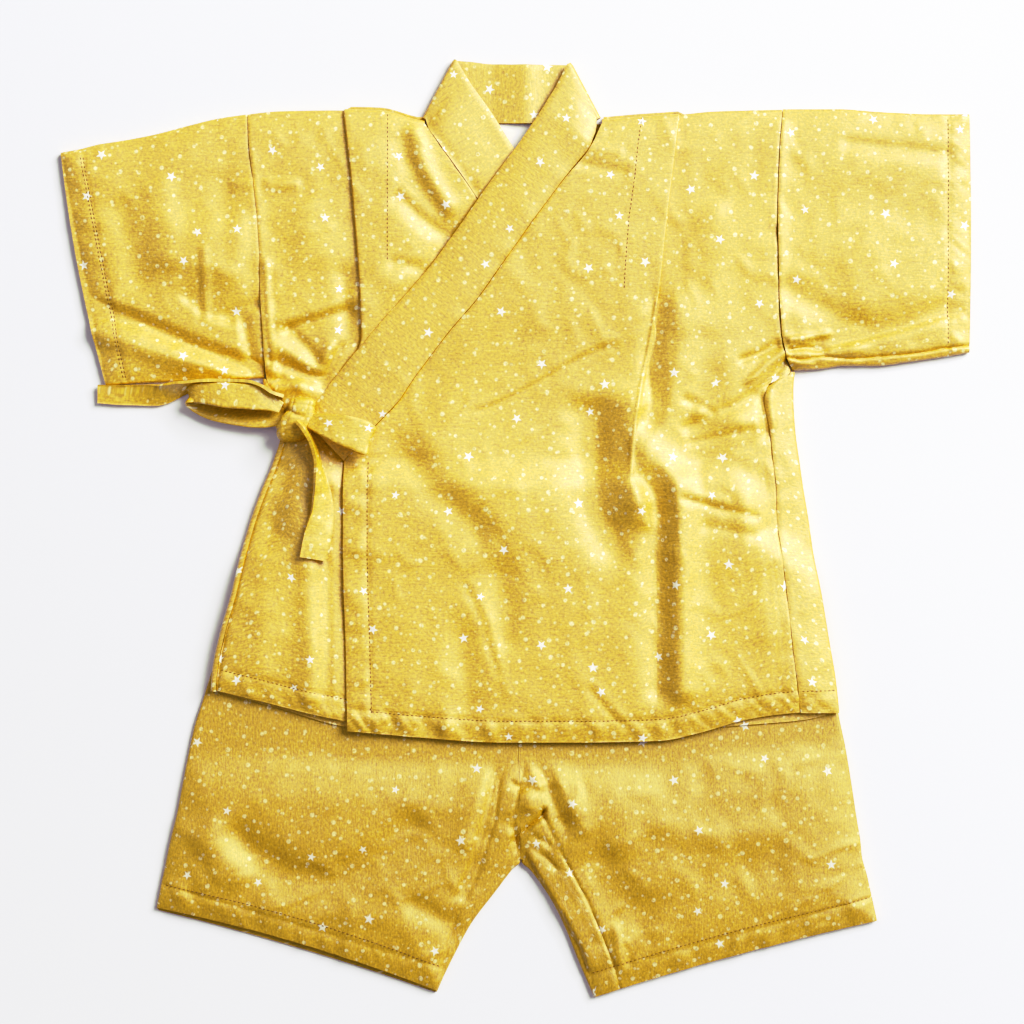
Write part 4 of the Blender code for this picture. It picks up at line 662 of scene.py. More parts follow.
# width on the left, width on the right, height, and the line: x and y in turn, in mm
creases = {
    "leftFront": [
        (-11, 5, -1.5, 87, 146, 84, 136, 81, 116, 79.5, 103, 80.5, 90, 82, 78, 80, 66, 75, 55),
        (15, -13, 2.3, 94, 146, 96, 132, 97, 119, 96.4, 101, 94, 86, 92.5, 74, 88, 63, 80, 50, 72, 40),
        (1.3, 1.5, 0.55, 85, 138, 82, 119, 78.5, 101, 75, 84, 72, 66, 69.5, 48, 69, 30),
        (-12, 8, -2.4, 66, 36, 76, 31, 84, 18, 85.5, 5, 85, -43, 86, -108),
        (11, -12, 3.4, 68, 37, 80, 38, 89, 35, 95, 27, 97, 12, 98, -40, 98, -108),
        (-21, 13, -3.8, 40, 84, 45, 64, 46, 40, 49, 10, 58, -8, 74, -12),
        (11.5, -21, 3.8, 69, 90, 68.8, 77, 68.6, 59, 68.4, 41, 68, 26, 70, 11, 77, -2),
        (30, 14, 2.2, -66, 66, -44, 44, -16, 18, 18, -18),
        (9, 9, -1.2, -70, 48, -50, 24, -22, -2),
        (9, 9, -1.6, -9, -30, -5, -66),
        (9, 9, -1.6, -32, -66, -28, -104),
        (2.6, 2, -0.95, 98, 78, 111, 72.5, 121, 67),
        (3.2, 5, -1.3, 97, 58, 111, 64, 129, 72, 147, 83),
        (5, 6, 1.1, 104, 71, 118, 67, 136, 63, 150, 61),
        (2.4, 2.4, -0.7, 105, 51, 122, 54, 141, 59),
        (2.2, 2.2, -0.95, 100, 17.5, 114, 14, 123, 11, 143, 7),
        (3, 4, 0.7, 102, 21, 116, 18, 130, 15),
        (3, 3.5, -0.6, 108, 2, 126, -1, 146, -5),
        (3, 1.8, 0.45, -30, -30, -22, -43, -16, -57, -11, -76, -7, -91, -3, -103),
        (2.6, 1.4, -0.6, -33, -30, -25, -43, -19, -57, -14, -76, -10, -91),
        (3, 1.8, 0.55, 45, -91, 57, -106, 72, -121, 78, -127),
        (2.4, 1.4, -0.55, 42, -93, 54, -108, 68, -122),
        (3.2, 1.8, 0.4, -24, 71, -9, 78, 3, 84, 33, 102, 51, 111, 63, 114),
        (2.6, 1.4, -0.55, -24, 68, -9, 74, 3, 80, 33, 97, 51, 106, 63, 109),
        (3.5, 3.5, -0.7, 40, 217, 64, 212),
        (3, 3, 0.5, 42, 227, 62, 224),
        (4, 4, 1, 72, 22, 76, 12, 79, 3),
        (12, 12, 1, 130, 100, 132, 60, 138, 0, 150, -60),
        (12, 14, 0.9, 120, 200, 118, 150, 116, 110),
        (1.8, 2.2, -2, 165, 102, 157, 94, 149, 82),
        (2.2, 2.2, 1.6, 162, 106, 150, 97, 140, 88),
        (2.2, 2.6, -1.6, 160, 111, 146, 104, 132, 99),
        (2.5, 3, 1, 152, 82, 153, 70, 155, 58),
        (2.5, 2.5, -1, 147, 84, 147, 72, 150, 56),
    ],
    "rightFront": [
        (2.4, 1.8, 0.85, -149, 162, -147, 128, -145, 108, -143, 88),
        (6, 6, -2, -112, 20, -112, -104),
        (7, 7, 1.4, -124, 0, -122, -50, -121, -100),
        (3, 3, -0.8, -104, 30, -105, -30, -104, -100),
        (7, 10, -1.6, -70, 240, -66, 220, -58, 204, -42, 180, -30, 168),
        (5, 5, 1.2, -60, 236, -54, 214, -40, 192),
        (4, 6, -1.5, -74, 202, -58, 186, -42, 174, -28, 170),
        (2.2, 4, 0.9, -152, 206, -138, 206, -126, 205),
        (2.5, 5, -1.5, -142, 118, -120, 124, -94, 132),
        (4, 4, 1.1, -140, 124, -118, 131, -96, 139),
        (6, 6, -1.4, -102, 150, -100, 130, -99, 112),
        (14, 12, 1.2, -130, 200, -122, 176, -120, 150),
        (4, 4, -1, -45, 164, -30, 170, -18, 178),
        (4, 4, -1.1, -72, 158, -60, 156, -50, 152),
        (4, 4, -1, -54, 149, -44, 140, -33, 131),
        (6, 4, -1.8, -146, 92, -128, 90, -108, 88),
        (3, 3, 0.9, -148, 84, -132, 84, -116, 80),
        (8, 6, -1, -136, 42, -142, 10, -148, -20),
        (8, 8, 0.8, -150, -50, -152, -80, -155, -98),
        (2.5, 3.5, 1.5, -150, 96, -138, 92, -124, 84),
        (2.5, 3, -1.5, -150, 101, -137, 98, -122, 92, -112, 88),
        (3, 4, 1.4, -146, 112, -132, 103, -118, 92),
        (3, 4, -1.2, -138, 122, -124, 108, -113, 94),
        (2.5, 3, 1.1, -108, 112, -114, 100, -119, 90),
        (2.5, 2.5, -1.2, -104, 108, -110, 96, -116, 84),
    ],
    "sleeve_right": [
        (-7, -8, -3.1, -270, 138, -258, 134, -238, 128, -219, 121, -197, 111, -174, 102, -146, 91),
        (-9, 7, 2, -264, 120, -238, 114, -219, 107, -197, 100, -174, 94, -150, 89),
        (9, 2, -1.2, -202, 142, -186, 128, -162, 121),
        (2, -15, 0.8, -158, 225, -157, 218, -155, 197, -153, 173, -151, 150),
        (8, 9, -0.9, -176, 216, -172, 180, -168, 150),
        (12, 9, -1.3, -240, 200, -228, 164, -222, 136),
        (10, 46, 3.4, -168, 198, -169, 166, -171, 134),
        (9, 14, 1.3, -213, 214, -208, 176, -206, 150),
        (1.6, 3.5, 0.9, -185, 170, -184, 150, -184, 122),
        (2, 2, -0.4, -188.5, 168, -188, 150, -188, 124),
        (6, 2, -1.2, -178, 124, -162, 129, -148, 135),
        (2.2, 4, 0.9, -172, 206, -158, 206, -150, 206),
        (5, 1.6, -1.5, -165, 130, -161, 112, -155, 84),
    ],
    "sleeve_left": [
        (11, 4, -2.3, 172, 106, 195, 111.6, 231, 120.6, 276, 135),
        (4, 4, 0.8, 164, 104, 186, 106, 206, 108),
        (8, 8, -1.3, 162, 142, 185, 130, 206, 121),
        (3.5, 7, -0.8, 192, 231, 230, 227, 266, 223),
        (5, 9, 0.4, 196, 222, 230, 218, 262, 214),
        (12, 12, -0.7, 212, 196, 240, 186, 262, 182),
        (1.8, 2.5, -1.7, 161, 106, 174, 108, 188, 106),
        (2.2, 2, 1.3, 161, 112, 176, 114, 190, 117),
        (2, 2, 0.9, 164, 100, 170, 98, 177, 98),
        (14, 14, -0.6, 176, 190, 182, 160, 186, 140),
        (10, 14, 0.6, 170, 172, 200, 166, 226, 170),
    ],
    "crotch": [
        (4, 3, 1.5, 7, -130, 10, -146, 17, -158),
        (9, -11, 1.7, 17, -130, 27, -153, 36, -171, 45, -188),
        (-7, 4, -1.2, 12, -136, 20, -154, 26, -170, 34, -184),
        (5, 6, 1.7, 3, -154, 9, -162, 8, -172),
        (1.6, 3, -0.9, -4, -150, 2, -155, 10, -153),
        (1.6, 1.1, -2.4, -3, -189, 3, -183, 8, -179, 15, -173, 19, -167),
        (1.2, 2.5, -1.4, 1, -196, 0, -186, -3, -176),
        (1, 1.6, -1.3, 18, -166, 17, -171, 19, -176),
        (1.6, 1.2, -1, 9, -184, 17, -187, 25, -193),
    ],
    "leg_right": [
        (13, 24, -0.5, -150, -138, -110, -141, -64, -140),
        (9, 12, 1.9, -190, -174, -171, -199, -158, -216),
        (10, 13, -2.3, -175, -175, -160, -192, -138, -206, -108, -211, -78, -194, -52, -170),
        (6, 3, -1.4, -7, -130, -12, -150, -18, -175, -25, -200, -36, -225),
        (5, 9, 1, -16, -135, -24, -165, -34, -195),
        (6, 6, -1.2, -60, -225, -40, -236, -30, -250),
        (9, 9, 0.4, -100, -232, -70, -236, -50, -248),
    ],
    "leg_left": [
        (14, 15, -1.8, 44, -187, 54, -211, 66, -226, 88, -240),
        (13, 12, 0.9, 46, -142, 60, -172, 72, -198),
        (14, 20, -0.8, 70, -150, 110, -156, 164, -152),
        (12, 14, -1.2, 120, -200, 142, -204, 166, -196),
        (9, 9, 0.9, 90, -180, 120, -184, 150, -180),
        (3, 3, 0.8, 60, -240, 64, -262),
        (6, 0.8, 1.2, 6, -191, 16, -209, 29, -230, 41, -252, 46, -268),
        (1.5, 2.5, -0.7, 9, -190, 18, -196, 27, -206),
    ],
}


def sectionAt(rows):
    # every column of the section table at fractional row numbers, each as one tall array
    table = np.array(jacket["sections"], float)
    values = through(np.arange(len(table)), table, rows)
    return {name: values[:, i:i + 1] for i, name in enumerate(sectionNames)}


def rowsBy(spacing):
    # fractional row numbers about `spacing` mm apart down the body, closer at the hem
    y = np.array([row[0] for row in jacket["sections"]], float)
    wanted = [y[0]]
    while wanted[-1] > y[-1]:
        near = 0.55 if wanted[-1] < y[-1] + 14 else 1.0
        wanted.append(wanted[-1] - spacing * near)
    wanted[-1] = y[-1]
    rows = np.interp(-np.array(wanted), -y, np.arange(len(y)))
    return np.unique(np.append(rows, float(jacket["underarmRow"])))


def rowY(x, rows, hem):
    # y along the rows: they follow the shoulders above, the underarms and the hem below
    t = rows[:, None]
    top = np.clip(1 - t / 3.0, 0, 1)
    under = np.clip(1 - np.abs(t - jacket["underarmRow"]), 0, 1)
    bottom = np.interp(t, [16, 17, 18, 19], [0, 0.2, 0.55, 1.0])
    levels = [row[0] for row in jacket["sections"]]
    return (sectionAt(rows)["y"] + top * (lineAt(jacket["shoulders"], x) - cloth["edge"] - levels[0])
            + under * (lineAt(jacket["underarms"], x) - levels[jacket["underarmRow"]])
            + bottom * (lineAt(hem, x) - levels[-1]))


def column(name, first=0, last=None):
    # a line down the jacket: one named x of each cross section with its y
    spot = sectionNames.index(name)
    return [(row[spot], row[0]) for row in jacket["sections"][first:last]]


def edgeOf(table, k, first=0):
    # one folded edge of a tube's table: k is 0 for the upper or outer one, 2 for the other
    return [(row[k], row[k + 1]) for row in table[first:]]


def shortsLeg(table):
    # down the outer edge and up the inner one, to the crotch
    return edgeOf(table, 0) + edgeOf(table, 2, shorts["crotchRow"])[::-1]


wholeJacket = (edgeOf(sleeves["right"], 0)[::-1] + jacket["shoulders"][1:5] + [(-36, 281), (34, 279)]
               + jacket["shoulders"][5:-1] + edgeOf(sleeves["left"], 0) + edgeOf(sleeves["left"], 2)[::-1]
               + column("edgeRight", 8) + jacket["hemLeftFront"][::-1] + jacket["hemRightFront"][:3][::-1]
               + column("edgeLeft", 8)[::-1] + edgeOf(sleeves["right"], 2))
wholeShorts = ([(shorts["waist"]["left"], shorts["waist"]["y"])] + shortsLeg(shorts["right"])
               + shortsLeg(shorts["left"])[::-1] + [(shorts["waist"]["right"], shorts["waist"]["y"])])
for outline in (wholeJacket, wholeShorts):
    outline.append(outline[0])
coverLine = ([(31.3, 277.4), (24.5, 264)] + [(row[0], row[1]) for row in collar["over"]]
             + column("front", 12) + [(-100, -140)])


def jacketFloor(x, y):
    # what the top lies on: the surface, or the shorts where they are under it, with the
    # cloth bridging down to the surface past their edge
    away = np.where(inside(x, y, wholeShorts), 0.0, nearest(x, y, wholeShorts)[0])
    lower = smoothStep((-10.0 - y) / 26.0)
    return (4.7 - lower) * (1.0 - smoothStep((away - 16.0) / 20.0))


def uncovered(x, y):
    # 0 where the left front lies on the right front, 1 away from it
    line = np.array(coverLine, float)
    order = np.argsort(line[:, 1])
    edge = np.interp(y, line[order, 1], line[order, 0])
    far = nearest(x, y, coverLine)[0]
    away = np.where(x < edge, far, -far)
    return smoothStep((away + 9.0) / 22.0)


def softness(x, y, seed, amount=1.0):
    # the cloth's own slight waves at three sizes, and a few sharper crumples across them
    u, v = 0.87 * x + 0.5 * y, 0.87 * y - 0.5 * x
    crumple = (1.0 - 3.2 * np.abs(ripple(u, v, 31, 17, seed + 3))
               - 1.6 * np.abs(ripple(v, u, 23, 12, seed + 4)))
    return amount * (0.46 * ripple(x, y, 33, 44, seed) + 0.30 * ripple(x, y, 16, 19, seed + 1)
                     + 0.20 * ripple(x, y, 7.5, 8, seed + 2) + 0.40 * np.maximum(crumple, -0.5))


def jacketLoft(x, y):
    # the rise times how far a place is inside the outline, full from reach inwards
    return jacket["rise"] * filled(nearest(x, y, wholeJacket)[0], jacket["reach"])


def rightFrontSurface(x, y, rise):
    # the floor, the layers below, the loft with its creases and, by rise, the open tuck
    loft = jacketLoft(x, y) + folds(x, y, creases["rightFront"]) + softness(x, y, 11)
    loft = smoothMax(loft, jacket["leastLoft"], jacket["blend"])
    free = np.maximum(uncovered(x, y), smoothStep((-126.0 - x) / 10.0))
    level = 1.0 - smoothStep((x + 76.0) / 45.0)
    return (jacketFloor(x, y) + cloth["low"] + cloth["layer"]
            + free * (cloth["folded"] - cloth["layer"] + loft)
            + rise * smoothStep((y - 71.0) / 26.0) * cloth["tuckRise"] * level)


def leftFrontSurface(x, y, rise):
    # the floor, the layers below, the loft with its creases, lower beside the crossing
    # edge, and, by rise, the open tuck
    share = filled(nearest(x, y, coverLine)[0], jacket["wrapReach"])
    loft = jacketLoft(x, y) * (jacket["wrapEdge"] + (1 - jacket["wrapEdge"]) * share)
    loft = loft + folds(x, y, creases["leftFront"]) + softness(x, y, 21)
    return (jacketFloor(x, y) + cloth["low"] + cloth["folded"]
            + smoothMax(loft, jacket["leastLoft"], jacket["blend"])
            + rise * smoothStep((y - 92.0) / 45.0) * cloth["tuckRise"])


def chain(start, *stops, last=False):
    # columns from start through each stop (how many, and where to) in turn, evenly between
    # two of them; the last place itself only if `last` is given
    parts = []
    for count, end in stops:
        parts.append(start + (end - start) * np.linspace(0, 1, count)[:-1])
        start = end
    return np.hstack(parts + [start] * last)


def closer(start, end, count):
    # columns from start to end, closer together near the end
    share = 1.0 - (1.0 - np.linspace(0, 1, count)) ** 1.8
    return start + (end - start) * share


def tuckColumns(fold, stitch, inward):
    # over the tuck's fold, back under to its stitches and forward again. The two turns
    # are half circles; where the tuck lets go it opens into a slope.
    closed = np.clip((stitch - fold) * inward / 5.0, -1, 1)
    parted = 0.12 * (1.0 - np.abs(closed))
    angle = np.radians(np.linspace(90, -90, 7))[None, :]
    bulge = inward * cloth["tuckTurn"] * (1 - np.cos(angle))
    first = fold + bulge * np.where(angle < 0, closed, 1.0)
    second = stitch - bulge * np.where(angle > 0, closed, 1.0)
    firstRise = 0.75 + 0.25 * np.sin(angle) + parted * np.where(angle < 0, -np.sin(angle), 0.0)
    secondRise = 0.25 + 0.25 * np.sin(angle) - parted * np.where(angle > 0, np.sin(angle), 0.0)
    return [np.hstack([a, chain(a[:, -1:], (8, b[:, :1]))[:, 1:], b])
            for a, b in ((first, second), (firstRise, secondRise))]


def tuckSpan(fold, stitch, inward):
    # the two sides of the tuck: its lines' x, and 2 or 3 mm more
    low, high = (3.0, 2.0) if inward < 0 else (2.0, 3.0)
    return np.minimum(fold, stitch) - low, np.maximum(fold, stitch) + high


def opened(rows, xs, rise, fold, stitch, start, way):
    # past the row `start` the tuck becomes a slope between its fold line and its stitch line
    width = way * np.maximum(way * (stitch - fold), 0.5)
    slope = 1.0 - smoothStep((xs - fold) / width)
    share = smoothStep((rows[:, None] - start) / 1.5)
    return rise * (1 - share) + slope * share


def overShoulder(top):
    # the quarter turn from a front's first row down to the shoulder
    angle = np.radians((0, 18, 36, 54, 72))[:, None]
    middle = cloth["low"] + cloth["turn"] + cloth["seamGap"]
    outward = np.maximum(top[:, 2] - cloth["low"] - cloth["folded"], 0.0)
    arc = np.repeat(top[None], len(angle), 0)
    arc[:, :, 1] += np.cos(angle) * (cloth["turn"] + 0.3 * outward)
    arc[:, :, 2] = middle + np.sin(angle) * (top[:, 2] - middle)
    return arc


def hemBand(x, y, line, width, seed, pull=0.75, past=False):
    # a doubled hem: a little thicker up to its stitches, sunk along them, and drawn into
    # short uneven waves by the sewing; places `past` the line count as on it
    far, along = nearest(x, y, line)[:2]
    far = np.where(past, 0, far)
    wave = (ripple(along, far * 0 + seed * 9.7, 6.5, 30.0, seed)
            + 0.6 * ripple(along + far * 0.8, far, 3.6, 20.0, seed + 5))
    dip = (far - width) / np.where(far < width, 2.4, 1.0)
    return (0.28 * smoothStep((width - far) / 2.4 + 0.5) - 0.62 * np.exp(-dip ** 2)
            + pull * wave * np.exp(-((far - width * 0.6) / (width * 0.55)) ** 2)
            - 0.35 * np.exp(-(far / 1.4) ** 2))


def seamDip(x, y, line, depth, seed, pull=0.25, ridge=0.0, reach=5.0):
    # a sewn seam: a narrow valley with small puckers running out of it, on a low ridge
    far, along = nearest(x, y, line)[:2]
    pucker = ripple(along, far * 0 + seed * 7.3, 7.0, 30.0, seed)
    return (-depth * np.exp(-(far / 0.95) ** 2) + pull * pucker * np.exp(-(far / 7.0) ** 2)
            + ridge * np.exp(-(far / reach) ** 2))


def hemStitches(hem, start, end, count):
    # the hem line raised by the hem's width
    return [(x, lineAt(hem, x) + jacket["hemWidth"]) for x in np.linspace(start, end, count)]


def finishFront(key, xs, y, z, uv, lines):
    # the front with its turn over the shoulder, and its lines of stitches
    flat = np.stack([xs, y, z], 2)
    grid = np.concatenate([overShoulder(flat[0]), flat])
    piece = makeCloth("wrap_front_" + key, "jacket_front_" + key, grid, cloth["wall"], "jacket", uv,
                      upright=2)
    sewn.extend((piece, line) for line in lines)
    return piece


def leftFront():
    # rows down the front, each a run of columns from edge to edge; z is the surface's
    rows = rowsBy(1.8)
    s = sectionAt(rows)
    fold, stitch = s["foldRight"], s["stitchRight"]
    near, far = tuckSpan(fold, stitch, -1)
    tuck, tuckRises = tuckColumns(fold, stitch, -1)
    front, seam = s["front"] + cloth["seamGap"], s["seamRight"] - cloth["seamGap"]
    edge = np.minimum(16.0, (near - front) * 0.3)
    upper = chain(front, (14, front + edge), (76, near), (16, tuck[:, :1]))
    lower = chain(tuck[:, -1:], (12, far), (44, seam - 7.0))[:, 1:]
    lower = np.hstack([lower, closer(seam - 7.0, seam, 11)])
    xs = np.hstack([upper, tuck, lower])
    rise = np.hstack([np.ones_like(upper), tuckRises, np.zeros_like(lower)])
    rise = opened(rows, xs, rise, fold, stitch, 5.3, 1)
    hem = jacket["hemLeftFront"]
    y = rowY(xs, rows, hem)
    z = leftFrontSurface(xs, y, rise)
    z += hemBand(xs, y, hem, jacket["hemWidth"], 3, 0.85 + 1.0 * smoothStep((10.0 - xs) / 60.0))
    edgeLine = column("front", 11) + [(-100, -121)]
    z += hemBand(xs, y, edgeLine, jacket["frontHemWidth"], 4) * smoothStep((58.0 - y) / 16.0)
    for line, depth, seed, pull in ((column("seamRight", 0, 9), 0.3, 31, 0.4),
                                    (column("seamRight", 9), 0.45, 32, 0.35),
                                    (column("front", 0, 13), 0.5, 33, 0.2)):
        z += seamDip(xs, y, line, depth, seed, pull)
    frontLine = [(x + jacket["frontHemWidth"], level) for x, level in edgeLine[1:-1]] + [(-86, -108)]
    tuckLine = [(76, 246), (73.5, 230), (71.5, 210), (68, 185), (66, 160), (65, 142)]
    uv = dict(row=60, column=60, second=xs.shape[1] - 1, between=(108, 126))
    return finishFront("left", xs, y, z, uv, (hemStitches(hem, -86, 170, 30), frontLine, tuckLine))


def rightFront():
    # as the left front, with its tuck on the other side
    rows = rowsBy(1.6)
    s = sectionAt(rows)
    fold, stitch = s["foldLeft"], s["stitchLeft"]
    near, far = tuckSpan(fold, stitch, 1)
    tuck, tuckRises = [table[:, ::-1] for table in tuckColumns(fold, stitch, 1)]
    seam, hidden = s["seamLeft"] + cloth["seamGap"], s["hidden"] - cloth["seamGap"]
    lower = np.hstack([closer(seam + 7.0, seam, 11)[:, :0:-1],
                       chain(seam + 7.0, (34, near), (12, tuck[:, :1]))])
    upper = chain(tuck[:, -1:], (14, far), (60, hidden), last=True)[:, 1:]
    xs = np.hstack([lower, tuck, upper])
    rise = np.hstack([np.zeros_like(lower), tuckRises, np.ones_like(upper)])
    rise = opened(rows, xs, rise, fold, stitch, 9.0, -1)
    hem = jacket["hemRightFront"]
    y = rowY(xs, rows, hem)
    z = rightFrontSurface(xs, y, rise)
    z += hemBand(xs, y, hem, jacket["hemWidth"], 6) * np.maximum(uncovered(xs, y), 0.05)
    for line, depth, seed, pull, ridge in ((column("seamLeft", 0, 9), 0.4, 41, 0.25, 0.9),
                                           (column("seamLeft", 9), 0.7, 42, 0.3, 0.0),
                                           (column("hidden", 0, 5), 0.5, 43, 0.2, 0.0)):
        z += seamDip(xs, y, line, depth, seed, pull, ridge * smoothStep((235 - y) / 20))
    uv = dict(row=60, column=96, second=0, between=(57, 74))
    tuckLine = [(-76, 248), (-76, 230), (-76, 200), (-76, 160)]
    return finishFront("right", xs, y, z, uv, (hemStitches(hem, -176, -98, 12), tuckLine))


def turnAt(s, side):
    # where the back starts to turn up beside a side seam, side -1 at the wearer's right
    if side < 0:
        return np.minimum(s["edgeLeft"] + cloth["edge"], s["seamLeft"] - cloth["turnGap"])
    return np.maximum(s["edgeRight"] - cloth["edge"], s["seamRight"] + cloth["turnGap"])


# the angles of the points round a folded edge
ringArc = (67.5, 45.0, 22.5, 0.0, -22.5, -45.0, -67.5)


def sideTurn(top, bottom, outward):
    # the rounded edge between the lower face at `bottom` and the upper face's edge `top`
    angle = np.radians(ringArc)
    middle = bottom[:, None] + cloth["turn"]
    up = np.where(angle > 0, top[:, 2:] - middle, cloth["turn"])
    return np.stack([top[:, :1] + outward * cloth["turn"] * np.cos(angle),
                     np.repeat(top[:, 1:2], len(angle), 1), middle + up * np.sin(angle)], 2)


def backBody():
    # rows down the back: flat under the fronts, turned up beside each side seam
    rows = rowsBy(3.0)
    tall = rows[:, None]
    s = sectionAt(rows)
    gap, low = cloth["seamGap"], cloth["low"]
    turnLeft, turnRight = turnAt(s, -1), turnAt(s, 1)
    left, right = s["seamLeft"] + gap, s["seamRight"] - gap
    below = smoothStep(tall - 7.0)
    left, right = left + (turnLeft - left) * below, right + (turnRight - right) * below
    neck, third = (-54.0, 53.0), 24        # columns beside, across and beside the neck
    top = chain(left[:1], (third + 1, np.array([[neck[0]]])), (third + 1, np.array([[neck[1]]])),
                (third + 1, right[:1]), last=True)
    share = (top - top[:, :1]) / (top[:, -1:] - top[:, :1])
    even = np.linspace(0, 1, share.shape[1])[None, :]
    lean = smoothStep(tall / 12.0)
    xs = left + (right - left) * (share * (1 - lean) + even * lean)
    y = rowY(xs, rows, jacket["hemBack"])
    inNeck = (xs > neck[0] - 0.1) & (xs < neck[1] + 0.1) & (tall < 0.01)
    y = np.where(inNeck, lineAt(jacket["backNeck"], xs), y)
    hem = (jacket["hemBack"], jacket["hemWidth"])
    z = jacketFloor(xs, y) + low
    z += np.maximum(hemBand(xs, y, *hem, 8), 0.0) * 0.4 * smoothStep(-y / 60)
    strips = []       # the parts that fold to the front
    inner = np.maximum(np.minimum(s["seamRight"] + gap, turnRight), turnRight - 22.0)
    for edge, start, count, end, seam, surface, seed in (
            (0, np.minimum(s["seamLeft"] - gap, turnLeft + 3.5), 4, turnLeft, "seamLeft",
             rightFrontSurface, 51),
            (-1, turnRight, 12, inner, "seamRight", leftFrontSurface, 52)):
        x, level = chain(start, (count, end), last=True), np.repeat(y[:, [edge]], count, 1)
        height = (surface(x, level, 0.0) + seamDip(x, level, column(seam, 9), 0.5, seed, 0.3, 0.5, 4.0)
                  + hemBand(x, level, *hem, 9))
        strips.append(np.stack([x, level, height], 2))
    grid = np.concatenate([strips[0], sideTurn(strips[0][:, -1], z[:, 0], -1), np.stack([xs, y, z], 2),
                           sideTurn(strips[1][:, 0], z[:, -1], 1)[:, ::-1], strips[1]], axis=1)
    angle = np.radians((0, -20, -40, -60))[:, None]
    arc = np.repeat(grid[:1], len(angle), 0)
    inFold = (grid[0, :, 0] > -102) & (grid[0, :, 0] < 98)
    arc[:, :, 1] += np.cos(angle) * (cloth["turn"] + np.where(inFold, cloth["tuckRise"], 0.0))
    arc[:, :, 2] = low + (cloth["turn"] - gap) * (1 + np.sin(angle))
    grid = np.concatenate([arc, grid])
    first = strips[0].shape[1] + len(ringArc)
    active = np.zeros((grid.shape[0] - 1, grid.shape[1] - 1), bool)
    active[:, first:first + xs.shape[1] - 1] = True
    active[:len(arc), first + third:first + 2 * third] = False      # open at the neck
    active[len(arc) + int(np.argmin(np.abs(rows - jacket["underarmRow"]))):] = True
    piece = makeCloth("wrap_back", "jacket_back", grid, cloth["wall"], "jacket",
                      dict(row=30, column=first + 36), active=active, upright=2)
    sewn.append((piece, hemStitches(jacket["hemLeftFront"], 150, 192, 8)))
    return piece


def ringRows(table, stations, shares, lowCount, surface, bend=None, ends=None):
    # rings over the top from the upper edge to the lower one, round it, back underneath
    # and round the upper edge, one ring for each station, a fractional row of the table.
    # shares are the places across the top, ends how far the cloth stops inside the lower
    # edge, bend moves the flat places and surface gives the top's height.
    table = np.array(table, float)
    row = through(np.arange(len(table)), table, stations)
    upper, lower, bow = row[:, None, :2], row[:, None, 2:4], row[:, 4:5]
    length = np.linalg.norm(lower - upper, axis=2)
    along = (lower - upper) / length[..., None]
    first = np.full_like(length, cloth["edge"])
    last = length - (first if ends is None else ends[:, None])
    turn, arc = cloth["turn"], np.radians(ringArc)[None, :]
    under = last + (first - last) * np.linspace(0, 1, lowCount)
    reach = np.hstack([first + (last - first) * shares, last + turn * np.cos(arc), under,
                       first - turn * np.cos(arc[:, ::-1])])
    share = reach / length
    side = np.concatenate([along[..., 1:], -along[..., :1]], axis=2)
    flat = upper + along * reach[..., None] + side * (4 * bow * share * (1 - share))[..., None]
    if bend:
        flat = bend(flat, stations[:, None] / (len(table) - 1))
    z = np.full(reach.shape, cloth["low"])
    top = len(shares)
    z[:, :top] = surface(flat[:, :top, 0], flat[:, :top, 1])
    for spot, edge, angles in ((slice(top, top + len(ringArc)), top - 1, arc),
                               (slice(-len(ringArc), None), 0, arc[:, ::-1])):
        up = np.where(angles > 0, z[:, edge:edge + 1] - cloth["low"] - turn, turn)
        z[:, spot] = cloth["low"] + turn + up * np.sin(angles)
    return np.concatenate([flat, z[..., None]], axis=2)


def armhole(name, turned):
    # the armhole line from the underarm, where the back turns up, to the shoulder
    under = jacket["underarmRow"]
    xs = [turned] + [spot[0] for spot in column(name, 0, under)[::-1]]
    rows = np.arange(under, -1, -1.0)
    ys = [rowY(np.array([[x]]), np.array([row]), jacket["hemBack"])[0, 0] for x, row in zip(xs, rows)]
    return np.array(ys), np.array(xs)


